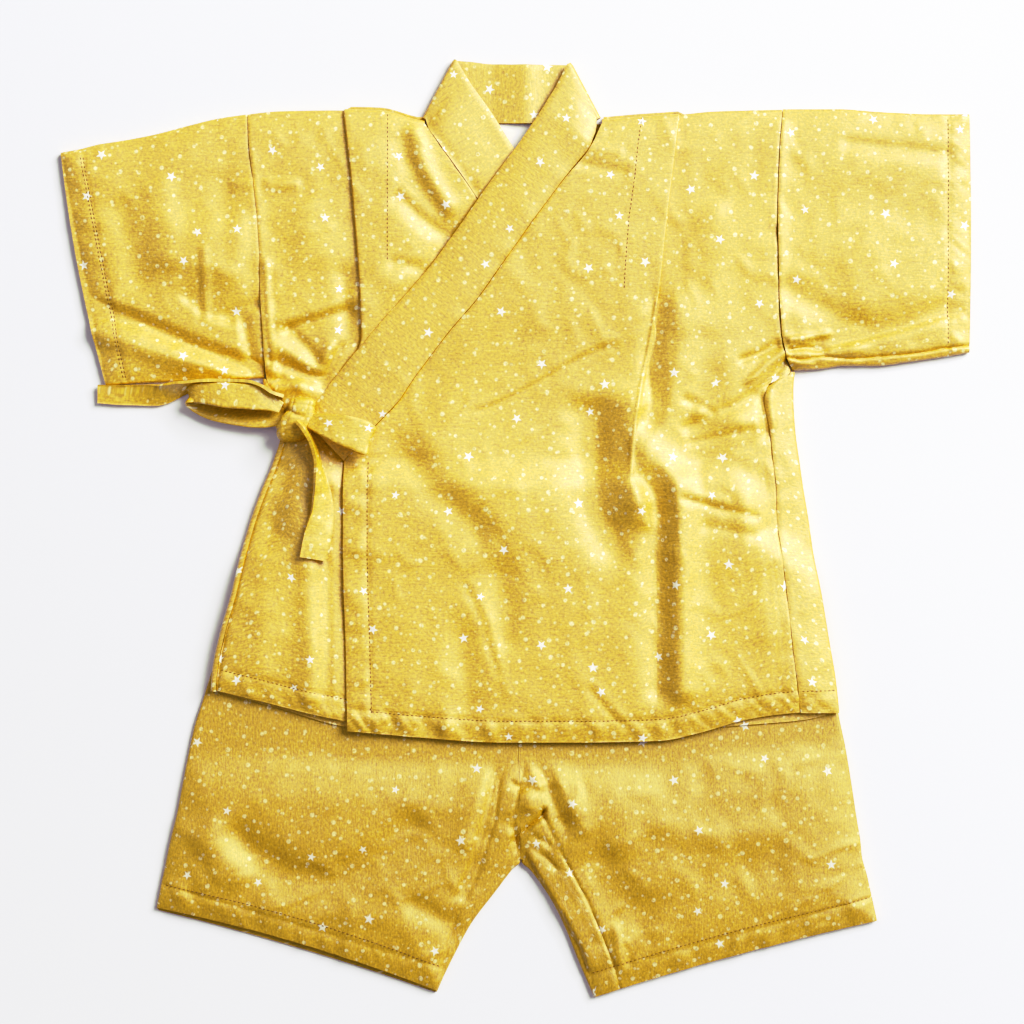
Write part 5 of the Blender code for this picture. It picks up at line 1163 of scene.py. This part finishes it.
def sleeve(key):
    # rings round a flat tube from the armhole to the cuff
    side, seamName, seed = {"right": (-1, "seamLeft", 0), "left": (1, "seamRight", 100)}[key]
    table, lines, inset = sleeves[key], creases["sleeve_" + key], sleeves["hemWidth"]
    row = dict(zip(sectionNames, jacket["sections"][jacket["underarmRow"]]))
    keys, seam = armhole(seamName, turnAt(row, side))
    first = table[0]
    a, b = cuff = np.array(table[-1][:4], float).reshape(2, 2)

    def bend(flat, share):
        # the rings beside the armhole follow its curve, a gap away from it
        straight = np.interp(flat[..., 1], [first[3], first[1]], [first[2], first[0]])
        line = np.interp(flat[..., 1], keys, seam)
        gap = sleeves["gap"][key] + 0.4 * smoothStep((106.0 - flat[..., 1]) / 10.0)
        moved = flat.copy()
        moved[..., 0] += ((line - straight) * (1 - share) + side * gap) * (1 - share) ** 2
        return moved

    def surface(x, y):
        # the jacket's loft as far as the cuff's line, and the creases
        past = side * (x - np.interp(y, [b[1], a[1]], [b[0], a[0]])) > 0
        loft = np.where(past, 0, jacketLoft(x, y)) + folds(x, y, lines) + softness(x, y, 61 + seed)
        raised = np.maximum(smoothMax(loft, 0.0, cloth["tuckTurn"]) - cloth["tuckTurn"] / 2, 0.0)
        ridge = 0.0
        if side > 0:
            ridge = 1.1 * smoothStep((248 - y) / 8) * smoothStep((y - 96) / 8)
        z = (cloth["low"] + cloth["folded"] + raised
             + 0.8 * hemBand(x, y, cuff, inset, 14 + seed, past=past)
             + seamDip(x, y, list(zip(seam, keys)), 0.35, 63 + seed, ridge=ridge))
        if side > 0:
            far, along, way = nearest(x, y, sleeves["underarmSeam"])
            z += (seamDip(x, y, sleeves["underarmSeam"], 1.2, 65, 0.5)
                  + 0.6 * smoothStep(far / 1.6) * np.exp(-(far / 5.0) ** 2) * (way > 0))
        return z

    last = len(table) - 1
    stations = chain(0.0, (13, 0.45), (60, last - 0.3), (5, last), last=True)
    shares, lowCount = chain(0.0, (74, 0.85), (34, 1.0), last=True), 34
    grid = ringRows(table, stations, shares, lowCount, surface, bend)
    low = len(shares) + len(ringArc)      # the back layer ends just inside the cuff
    grid[-4:, low:low + lowCount, 0] -= (side * sleeves["backInset"] * np.linspace(0.25, 1, 4)[:, None]
                                         * np.sin(np.linspace(0, np.pi, lowCount)) ** 0.5)
    piece = makeCloth("sleeve_" + key + "_tube", "sleeve_" + key, grid, cloth["wall"], "jacket",
                      dict(row=28, column=50, swapped=True), around=True)
    line = a + (b - a) * np.linspace(0.02, 0.98, 24)[:, None] - (side * inset, 0)
    sewn.extend((piece, line + (shift, 0)) for shift in sleeves["stitchRows"][key])
    return piece


def leg(key):
    # rings round a flat tube from the waist to the hem
    side, seed = {"right": (-1, 0), "left": (1, 200)}[key]
    table, lines, inset = shorts[key], creases["crotch"] + creases["leg_" + key], shorts["hemWidth"]
    a, b = hem = np.array(table[-1][:4], float).reshape(2, 2)

    def surface(x, y):
        # the loft, growing below the jacket's hem, and the creases
        jacketHem = np.minimum(lineAt(jacket["hemLeftFront"], x), lineAt(jacket["hemBack"], x))
        shown = smoothStep((jacketHem - shorts["hemClear"] - y) / shorts["hemReach"])
        loft = shorts["rise"] * filled(nearest(x, y, wholeShorts)[0], shorts["reach"])
        loft = loft * smoothStep((jacketHem - shorts["loftClear"] - y) / shorts["loftReach"])
        loft = loft + folds(x, y, lines) + softness(x, y, 81, 1.25)
        raised = np.maximum(smoothMax(loft, 0.0, shorts["blend"]) - shorts["blend"] / 2, 0.0)
        return cloth["low"] + cloth["folded"] + shown * (
            raised + 0.9 * hemBand(x, y, hem, inset, 17 + seed)
            + seamDip(x, y, shorts["inseam"][key], 0.9, 83 + seed, 0.4)
            + seamDip(x, y, shorts["centreSeam"], 0.6, 85, 0.7))

    count, lowCount = 14 * 13 + 1, 30
    stations = np.linspace(0, len(table) - 1, count)
    closed = int(np.argmin(np.abs(stations - shorts["crotchRow"])))
    ends = np.where(np.arange(count) >= closed, cloth["edge"], 0.0) + cloth["seamGap"]
    across = chain(0.0, (58, 0.74), (46, 1.0), last=True)
    top = len(across)
    grid = ringRows(table, stations, across, lowCount, surface, ends=ends)
    grid[0, :, 1] -= cloth["seamGap"]
    if side < 0:     # the back of this hem shows below the front
        low = slice(top + 1, top + 2 * len(ringArc) + lowCount - 1)
        reach = np.linspace(0, 1, low.stop - low.start)
        grid[-5:, low, 1] -= (shorts["backHem"] * np.linspace(0.2, 1, 5)[:, None]
                              * np.sin(np.pi * reach) ** 0.8)
    active = np.ones((count - 1, grid.shape[1]), bool)
    active[:closed, top - 1:top + len(ringArc)] = False
    piece = makeCloth("shorts_" + key + "_leg", "shorts_leg_" + key, grid, cloth["wall"], "shorts",
                      dict(row=75, column=40), around=True, active=active, upright=1)
    share = np.linspace(0.01, 0.985, 30)[:, None]
    run = unit(b - a)
    line = a + (b - a) * share + unit(np.array([0.0, 1.0]) - run * run[1]) * inset
    sewn.append((piece, line + np.array([run[1], -run[0]]) * (4 * table[-1][4] * share * (1 - share))))
    return piece


def waistband():
    # rings round a flat tube from the waist to the legs
    w = shorts["waist"]
    levels = (w["y"], w["y"] - w["depth"] + cloth["seamGap"])
    table = [(w["left"], y, w["right"], y, 0) for y in levels]

    def waves(x, y):
        # gathered over the elastic: short waves across, uneven in height
        phase = (x - 0.5 * (w["left"] + w["right"])) * 0.41 + 0.5 * ripple(x, y, 21, 40, 91)
        return (cloth["low"] + 0.45 + cloth["folded"] + w["wave"] * np.cos(phase)
                + 0.16 * ripple(x, y, 3.2, 14, 92) * smoothStep((w["y"] - y) / 3))

    grid = ringRows(table, np.linspace(0, 1, 12), np.linspace(0, 1, 150), 60, waves)
    return makeCloth("shorts_gathered_waist", "shorts_waistband", grid, cloth["wall"], "shorts",
                     dict(row=6, column=75), around=True)


def sewnRows(edges, seamName):
    # the band beside a front: its seam runs through the front's own row ends
    rows = []
    for index, (x, y, lift) in enumerate(edges, start=1):
        seam = float(column(seamName, index)[0][0])
        level = rowY(np.array([[seam]]), np.array([float(index)]), jacket["hemBack"])[0, 0]
        rows.append((x, y, seam, level, lift))
    return rows


def bandRows(rows, surface, crown, columns=19):
    # from the free edge to the seam, a little rounded between them. The seam lies as
    # high as the front it is sewn to, and comes level with the free edge at the neck.
    values = np.array(rows, float)
    halves = 0.5 * (values[:-1] + values[1:])
    values = np.insert(values, np.arange(1, len(values)), halves, axis=0)
    freeX, freeY, seamX, seamY, freeZ = values.T
    joined, seamZ = np.zeros(len(values)), freeZ
    if surface is not None:
        joined = np.ones(len(values))
        joined[:3] = (0.0, 0.35, 0.8)
        seamZ = np.maximum(surface(seamX, seamY, 1.0), freeZ) * joined + freeZ * (1 - joined)
    share = np.linspace(0, 1, columns)[None, :, None]
    free, seam = np.stack([freeX, freeY, freeZ], 1)[:, None], np.stack([seamX, seamY, seamZ], 1)[:, None]
    grid = free * (1 - share) + seam * share
    grid[:, :, 2] += crown * np.sin(np.pi * share[..., 0]) * joined[:, None]
    return grid


def neckFold(upper, lower, outward):
    # half a turn round the fold line from the upper layer to the lower one
    angle = np.radians((60.0, 30.0, 0.0, -30.0, -60.0))[:, None]
    middle, radius = 0.5 * (upper[:, 2] + lower[:, 2]), 0.5 * (upper[:, 2] - lower[:, 2])
    rows = np.repeat(upper[None], len(angle), 0)
    rows[:, :, :2] += outward * (radius * np.cos(angle))[..., None]
    rows[:, :, 2] = middle + radius * np.sin(angle)
    return rows


def collarBand():
    # rows across the band, up one front, round the neck and down the other front
    over = bandRows(collar["neckOver"][::-1] + sewnRows(collar["over"], "front"), leftFrontSurface, 1.0)
    under = bandRows(collar["neckUnder"][::-1] + sewnRows(collar["under"], "hidden"),
                     rightFrontSurface, 0.5)
    back = bandRows(collar["back"], None, 0.0)

    def outward(row, side):
        # the row's direction turned by a right angle
        run = unit(np.array([row[2] - row[0], row[3] - row[1]], float))
        return np.array([-run[1], run[0]]) * side
    right = neckFold(over[0], back[0], outward(collar["neckOver"][-1], 1))
    left = neckFold(under[0], back[-1], outward(collar["neckUnder"][-1], -1))
    rough = np.concatenate([over[::-1], right, back, left[::-1], under])
    last = len(rough) - 1
    wanted = np.linspace(0, last, 5 * last + 1)
    grid = through(np.arange(last + 1), rough.reshape(last + 1, -1), wanted).reshape(len(wanted), -1, 3)
    across = lengths(grid, 1, 0)
    length = lengths(grid, 0, 0)[:, :1] + 0 * across
    fromSeam = across[:, -1:] - across
    atBack = np.exp(-((wanted[:, None] - (len(over) + 5 + len(back) / 2)) / 10.0) ** 4)
    # puckers at the seam, a sunk line beside it and two sizes of soft waves, but not at the back
    grid[:, :, 2] += (1 - atBack) * (0.42 * ripple(length, fromSeam * 0.4, 8.0, 22.0, 101)
                                     * np.exp(-(fromSeam / 9.0) ** 2)
                                     - 0.5 * np.exp(-((fromSeam - 2.5) / 1.4) ** 2)
                                     + 0.35 * ripple(length, across, 26.0, 14.0, 102)
                                     + 0.18 * ripple(length, across, 9.0, 9.0, 103))
    start, crest, high = collar["backFold"]
    x = grid[..., 0]
    fold = np.where(x < crest, np.clip((x - start) / (crest - start), 0, 1),
                    np.exp(-((x - crest) / 9.0) ** 2))
    grid[:, :, 2] += atBack * high * fold
    grid[:, -1] += unit(grid[:, 0] - grid[:, -1]) * 0.25
    wall = rounded(across, 1.6, 0.5, collar["wall"])
    # each straight length of the band has its own direction, changing inside the neck's folds
    zone = np.arange(len(grid))
    zones = [zone < 5 * (len(over) + 2), zone < 5 * (len(over) + len(right) + len(back) + 2)]
    angle, shift = [np.select(zones, values[:2], values[2])[:, None] for values in
                    (np.radians(collar["grain"]), (0.0, 71.0, 143.0))]
    c, s = np.cos(angle), np.sin(angle)
    x, y = grid[..., 0], grid[..., 1] + shift
    uv = np.stack([x * c + y * s, y * c - x * s], 2)
    return makeCloth("collar_folded_band", "collar_band", grid, wall, "jacket",
                     np.concatenate([uv, uv[:, -1:]], axis=1))


def rounded(inset, reach, thin, thick):
    # a wall from thin at its edge to thick, a quarter circle over `reach`
    share = np.clip(inset / reach, 0, 1)
    return thin + (thick - thin) * np.sqrt(1 - (1 - share) ** 2)


def neckLabel():
    # a flat grid on the back's neck with a slight ripple
    (left, right), (high, low) = collar["label"]
    x, y = np.meshgrid(np.linspace(left, right, 26), np.linspace(high, low, 18))
    grid = np.stack([x, y, 1.36 + 0.05 * ripple(x, y, 6, 6, 111)], 2)
    return makeCloth("neck_tape", "neck_label", grid, 0.6, "tape", dict(row=9, column=13))


ties = {
    # x, y, z of the middle, lean and width: a lean of 0 lies flat and 90 stands on its edge
    "wall": 1.3,
    "tie_long_end": [(-250, 80.3, 2.6, -8, 11), (-232, 79.6, 2.7, -10, 12), (-215, 79.6, 3.8, -24, 13),
        (-200, 83.5, 6.2, -58, 13), (-186, 87.2, 7.7, -84, 13), (-170, 88, 8.2, -90, 13),
        (-158, 87.2, 9.6, -90, 13), (-150, 84.2, 11.4, -88, 12), (-144.5, 80.4, 12.4, -84, 10),
        (-138, 77.6, 12, -76, 8)],
    "tie_loop_left": [(-139.5, 71.5, 11.6, 0, 7), (-146, 75.0, 13.2, -4, 11), (-156, 77.8, 14.6, -6, 15),
        (-170, 79.0, 14.4, -6, 15.5), (-184, 80.2, 12.2, -4, 13), (-191.5, 80.4, 9.6, 0, 11.5),
        (-194.2, 78.4, 6.6, 0, 10.5), (-191, 74.8, 4.4, 8, 10.5), (-181, 70.6, 3.6, 18, 12.5),
        (-167, 67.8, 3.7, 24, 13.5), (-152, 66.0, 5.0, 22, 13), (-138, 66.6, 8.0, 10, 10)],
    "tie_loop_right": [(-121.5, 64.0, 14.0, 6, 9), (-112, 61.0, 17.4, 6, 14), (-101, 58.0, 19.0, 4, 18),
        (-91, 54.5, 18.4, 2, 19), (-86.5, 51.5, 15.8, 0, 17.5), (-89.5, 51.0, 12.8, 0, 15),
        (-98, 53.6, 11.8, 0, 13), (-109, 57.8, 11.4, 0, 10), (-118.7, 61.0, 11.4, 0, 8)],
    "tie_short_end": [(-129, 64, 17.2, 70, 6), (-124.5, 58, 17.0, 80, 6.5), (-120.5, 50, 14.8, 80, 7),
        (-117.4, 40, 12.0, 72, 8), (-115.2, 27, 9.6, 50, 11), (-114.2, 11, 8.4, 32, 14.5),
        (-117, -4, 7.8, 16, 16.5), (-119.5, -18.5, 7.4, 8, 17)],
    # x, y, z, half its width and half its height, from the top of the knot down
    "tie_knot": [(-127, 77.6, 11.4, 6.0, 2.2), (-126.8, 74.8, 11.6, 7.6, 4.2),
        (-127.6, 70, 11.4, 8.4, 5.2), (-129.6, 65, 11, 10.4, 5.2), (-131.5, 60, 10.4, 11.0, 4.9),
        (-133, 55.2, 9.6, 9.0, 4.2), (-134, 51.8, 9, 5.6, 2.2)],
    "leftBroadside": (0.04, 1.0, 0.08),
    "rightBroadside": (0.30, 0.95, 0.0),
}


def tie(key, seed, broadside=None, resting=None, thin=0.35):
    # A flat tube sewn from folded cloth, along its own route. The lean turns it from lying
    # flat, or from across `broadside`; resting is the surface it stays above.
    table = np.array(ties[key], float)
    count, columns = 12 * (len(table) - 1) + 1, 15
    row = through(np.arange(len(table)), table, np.linspace(0, len(table) - 1, count))
    path, lean, width = row[:, :3].copy(), np.radians(row[:, 3:4]), row[:, 4:5]
    if resting is not None:
        lowest = resting(path[:, 0], path[:, 1], 1.0) + 1.4 + 0.5 * (width * np.abs(np.sin(lean)))[:, 0]
        path[:, 2] = smoothMax(path[:, 2], lowest, 1.0)
    along = unit(np.gradient(path, axis=0))
    if broadside is None:
        side = unit(np.cross(along, [0.0, 0.0, 1.0]))
    else:
        wide = unit(np.array(ties[broadside]))
        side = unit(wide - along * (along @ wide)[:, None])
    across = side * np.cos(lean) + np.cross(side, along) * np.sin(lean)
    share = np.linspace(-0.5, 0.5, columns)
    share = np.sin(share * np.pi) / 2 * 0.35 + share * 0.65
    place = share * width
    grid = path[:, None, :] + across[:, None, :] * place[..., None]
    run = lengths(grid, 0, 0)[:, columns // 2:columns // 2 + 1] + 0 * place
    grid += normalsOf(grid, False) * (0.22 * ripple(run, place, 7.0, 5.0, seed)
                                      + 0.10 * ripple(run, place, 3.5, 3.0, seed + 1))[..., None]
    wall = rounded((0.5 - np.abs(share)) * width, 0.9, thin, ties["wall"])
    return makeCloth(key + "_tube", key, grid, wall, "ties", dict(row=count // 2, column=columns // 2))


def dent(value, wide):
    # 1 where the value is 0, falling away on both sides
    return np.exp(-(value / wide) ** 2)


def tieKnot():
    # the crossing wrapped by a turn of the tie: rings of rounded boxes, creased by the pull
    table = np.array(ties["tie_knot"], float)
    count, sides = 56, 64
    row = through(np.arange(len(table)), table, np.linspace(0, len(table) - 1, count))
    turn = np.linspace(0, 2 * np.pi, sides, endpoint=False)[None, :]
    c, s = np.cos(turn), np.sin(turn)
    level = np.linspace(0, 1, count)[:, None]
    close = 1.0
    for inset in (0.08 - level, level - 0.92):
        close = close * np.sqrt(np.clip(1 - (2 * np.clip(inset, 0, 1) / 0.16) ** 2, 0.02, 1))
    crease = 1 + 0.035 * np.sin(2.3 * turn + 5.0 * level + 0.6) * dent(level - 0.5, 0.38)
    crease -= 0.10 * dent(turn - 1.15 - 0.9 * (level - 0.5), 0.13)
    crease -= 0.08 * dent(turn - 2.15 + 0.5 * (level - 0.4), 0.11)
    # the wrapping turn ends across the left half, and two soft pleats run beside its edge
    crease -= 0.17 * dent(level - 0.43 - 0.12 * c, 0.040) * smoothStep(0.75 - c) * (s > -0.2)
    crease -= 0.06 * dent(level - 0.22 - 0.05 * c, 0.030)
    crease -= 0.07 * dent(level - 0.62 + 0.10 * c, 0.035) * smoothStep(0.4 - c)
    crease += 0.03 * ripple(9 * turn + 0 * level, 26 * level, 4.0, 3.0, 141)
    x, y, z, halfWidth, halfHeight = row.T[:, :, None]
    half = cloth["wall"] / 2
    across, rise = [np.sign(v) * np.abs(v) ** 0.75 * close * crease for v in (c, s)]
    grid = np.stack([x + (halfWidth - half) * across, np.repeat(y, sides, 1),
                     z + (halfHeight - half) * rise], 2)
    return makeCloth("tie_knot_wrapped", "tie_knot", grid, cloth["wall"], "ties",
                     dict(row=count // 2, column=14), around=True)


tieKnot()
tie("tie_long_end", 121, thin=1.9)
tie("tie_loop_left", 123, "leftBroadside")
tie("tie_loop_right", 125, "rightBroadside")
tie("tie_short_end", 127, resting=rightFrontSurface, thin=1.9)
print("ties ready")
backBody()
rightFront()
leftFront()
sleeve("right")
sleeve("left")
collarBand()
neckLabel()
print("wrap top ready")
leg("right")
leg("left")
waistband()
print("shorts ready")


# lengths in mm; a stitch bows up by `bow` from `sunk` under the cloth's face
stitching = {"pitch": 2.6, "length": 1.9, "radius": 0.28, "rings": 5, "sides": 5, "bow": 0.34,
             "sunk": 0.16, "step": 1.2}       # step: the most that one end may lie above the other


def evenly(line, pitch):
    # points along a broken line, one pitch apart, and the direction at each
    points = np.array(line, float)
    run = np.concatenate([[0.0], np.cumsum(np.hypot(*np.diff(points, axis=0).T))])
    at = np.arange(pitch / 2, run[-1], pitch)
    spots, ahead, behind = [np.stack([np.interp(at + shift, run, points[:, k]) for k in (0, 1)], 1)
                            for shift in (0.0, 0.1, -0.1)]
    return spots, unit(ahead - behind)


def onSurface(tree, spots):
    # the first surface met straight below each place, in millimetres, where there is one
    found = [tree.ray_cast((x * mm, y * mm, 0.06), (0, 0, -1)) for x, y in spots]
    place = np.array([tuple(f[0]) if f[0] else (np.nan,) * 3 for f in found]) / mm
    up = np.array([tuple(f[1]) if f[0] else (0, 0, 1) for f in found])
    return place, up


def stitches(name, lines, s):
    # each stitch is a short thread: rings round an arc that rises from the cloth and sinks
    # again, its radius falling to nothing at both ends
    ends = []
    for piece, line in lines:
        tree = bvhOf(piece)
        spots, way = evenly(line, s["pitch"])
        a = onSurface(tree, spots - way * s["length"] / 2)[0]
        b, up = onSurface(tree, spots + way * s["length"] / 2)
        ends.append(np.stack([a, b, up])[:, np.abs(a[:, 2] - b[:, 2]) < s["step"]])
    a, b, up = np.concatenate(ends, axis=1)[:, :, None]
    way = b - a
    side = unit(np.cross(way, up))
    up = unit(np.cross(side, way))
    t = np.linspace(0.02, 0.98, s["rings"])
    arch = np.sin(np.pi * t)
    centre = a + way * t[:, None] + up * (s["bow"] * arch - s["sunk"])[:, None]
    turn = np.linspace(0, 2 * np.pi, s["sides"], endpoint=False)
    offset = side * np.cos(turn)[:, None] + up * np.sin(turn)[:, None]
    points = centre[:, :, None] + offset[:, None] * (s["radius"] * np.sqrt(arch))[:, None, None]
    count, rings, sides = points.shape[:3]
    number = np.arange(rings * sides).reshape(rings, sides)
    turned = np.roll(number, -1, 1)
    quads = np.stack([number[:-1], turned[:-1], turned[1:], number[1:]], -1)
    shift = (np.arange(count) * rings * sides)[:, None, None]
    faces = quads.reshape(-1, 4)[None] + shift
    caps = np.stack([number[0, ::-1], number[-1]])[None] + shift
    corners = np.concatenate([faces.ravel(), caps.ravel()])
    firsts = np.concatenate([np.arange(0, faces.size, 4), faces.size + np.arange(0, caps.size, sides)])
    along = (t * s["length"])[:, None]
    flat = np.stack(np.broadcast_arrays(along, turn * s["radius"]), -1).reshape(-1, 2)
    addPiece(name, points.reshape(-1, 3), corners, firsts, flat[corners % (rings * sides)], "thread")


def bvhOf(piece):
    # the piece's faces in a tree that rays are cast at
    mesh = piece.data
    points = np.empty(len(mesh.vertices) * 3)
    mesh.vertices.foreach_get("co", points)
    corners = np.empty(len(mesh.loops), np.int32)
    mesh.loops.foreach_get("vertex_index", corners)
    return BVHTree.FromPolygons(points.reshape(-1, 3).tolist(), corners.reshape(-1, 4).tolist())


stitches("stitches_wrap", sewn[:-2], stitching)
stitches("stitches_shorts", sewn[-2:], stitching)
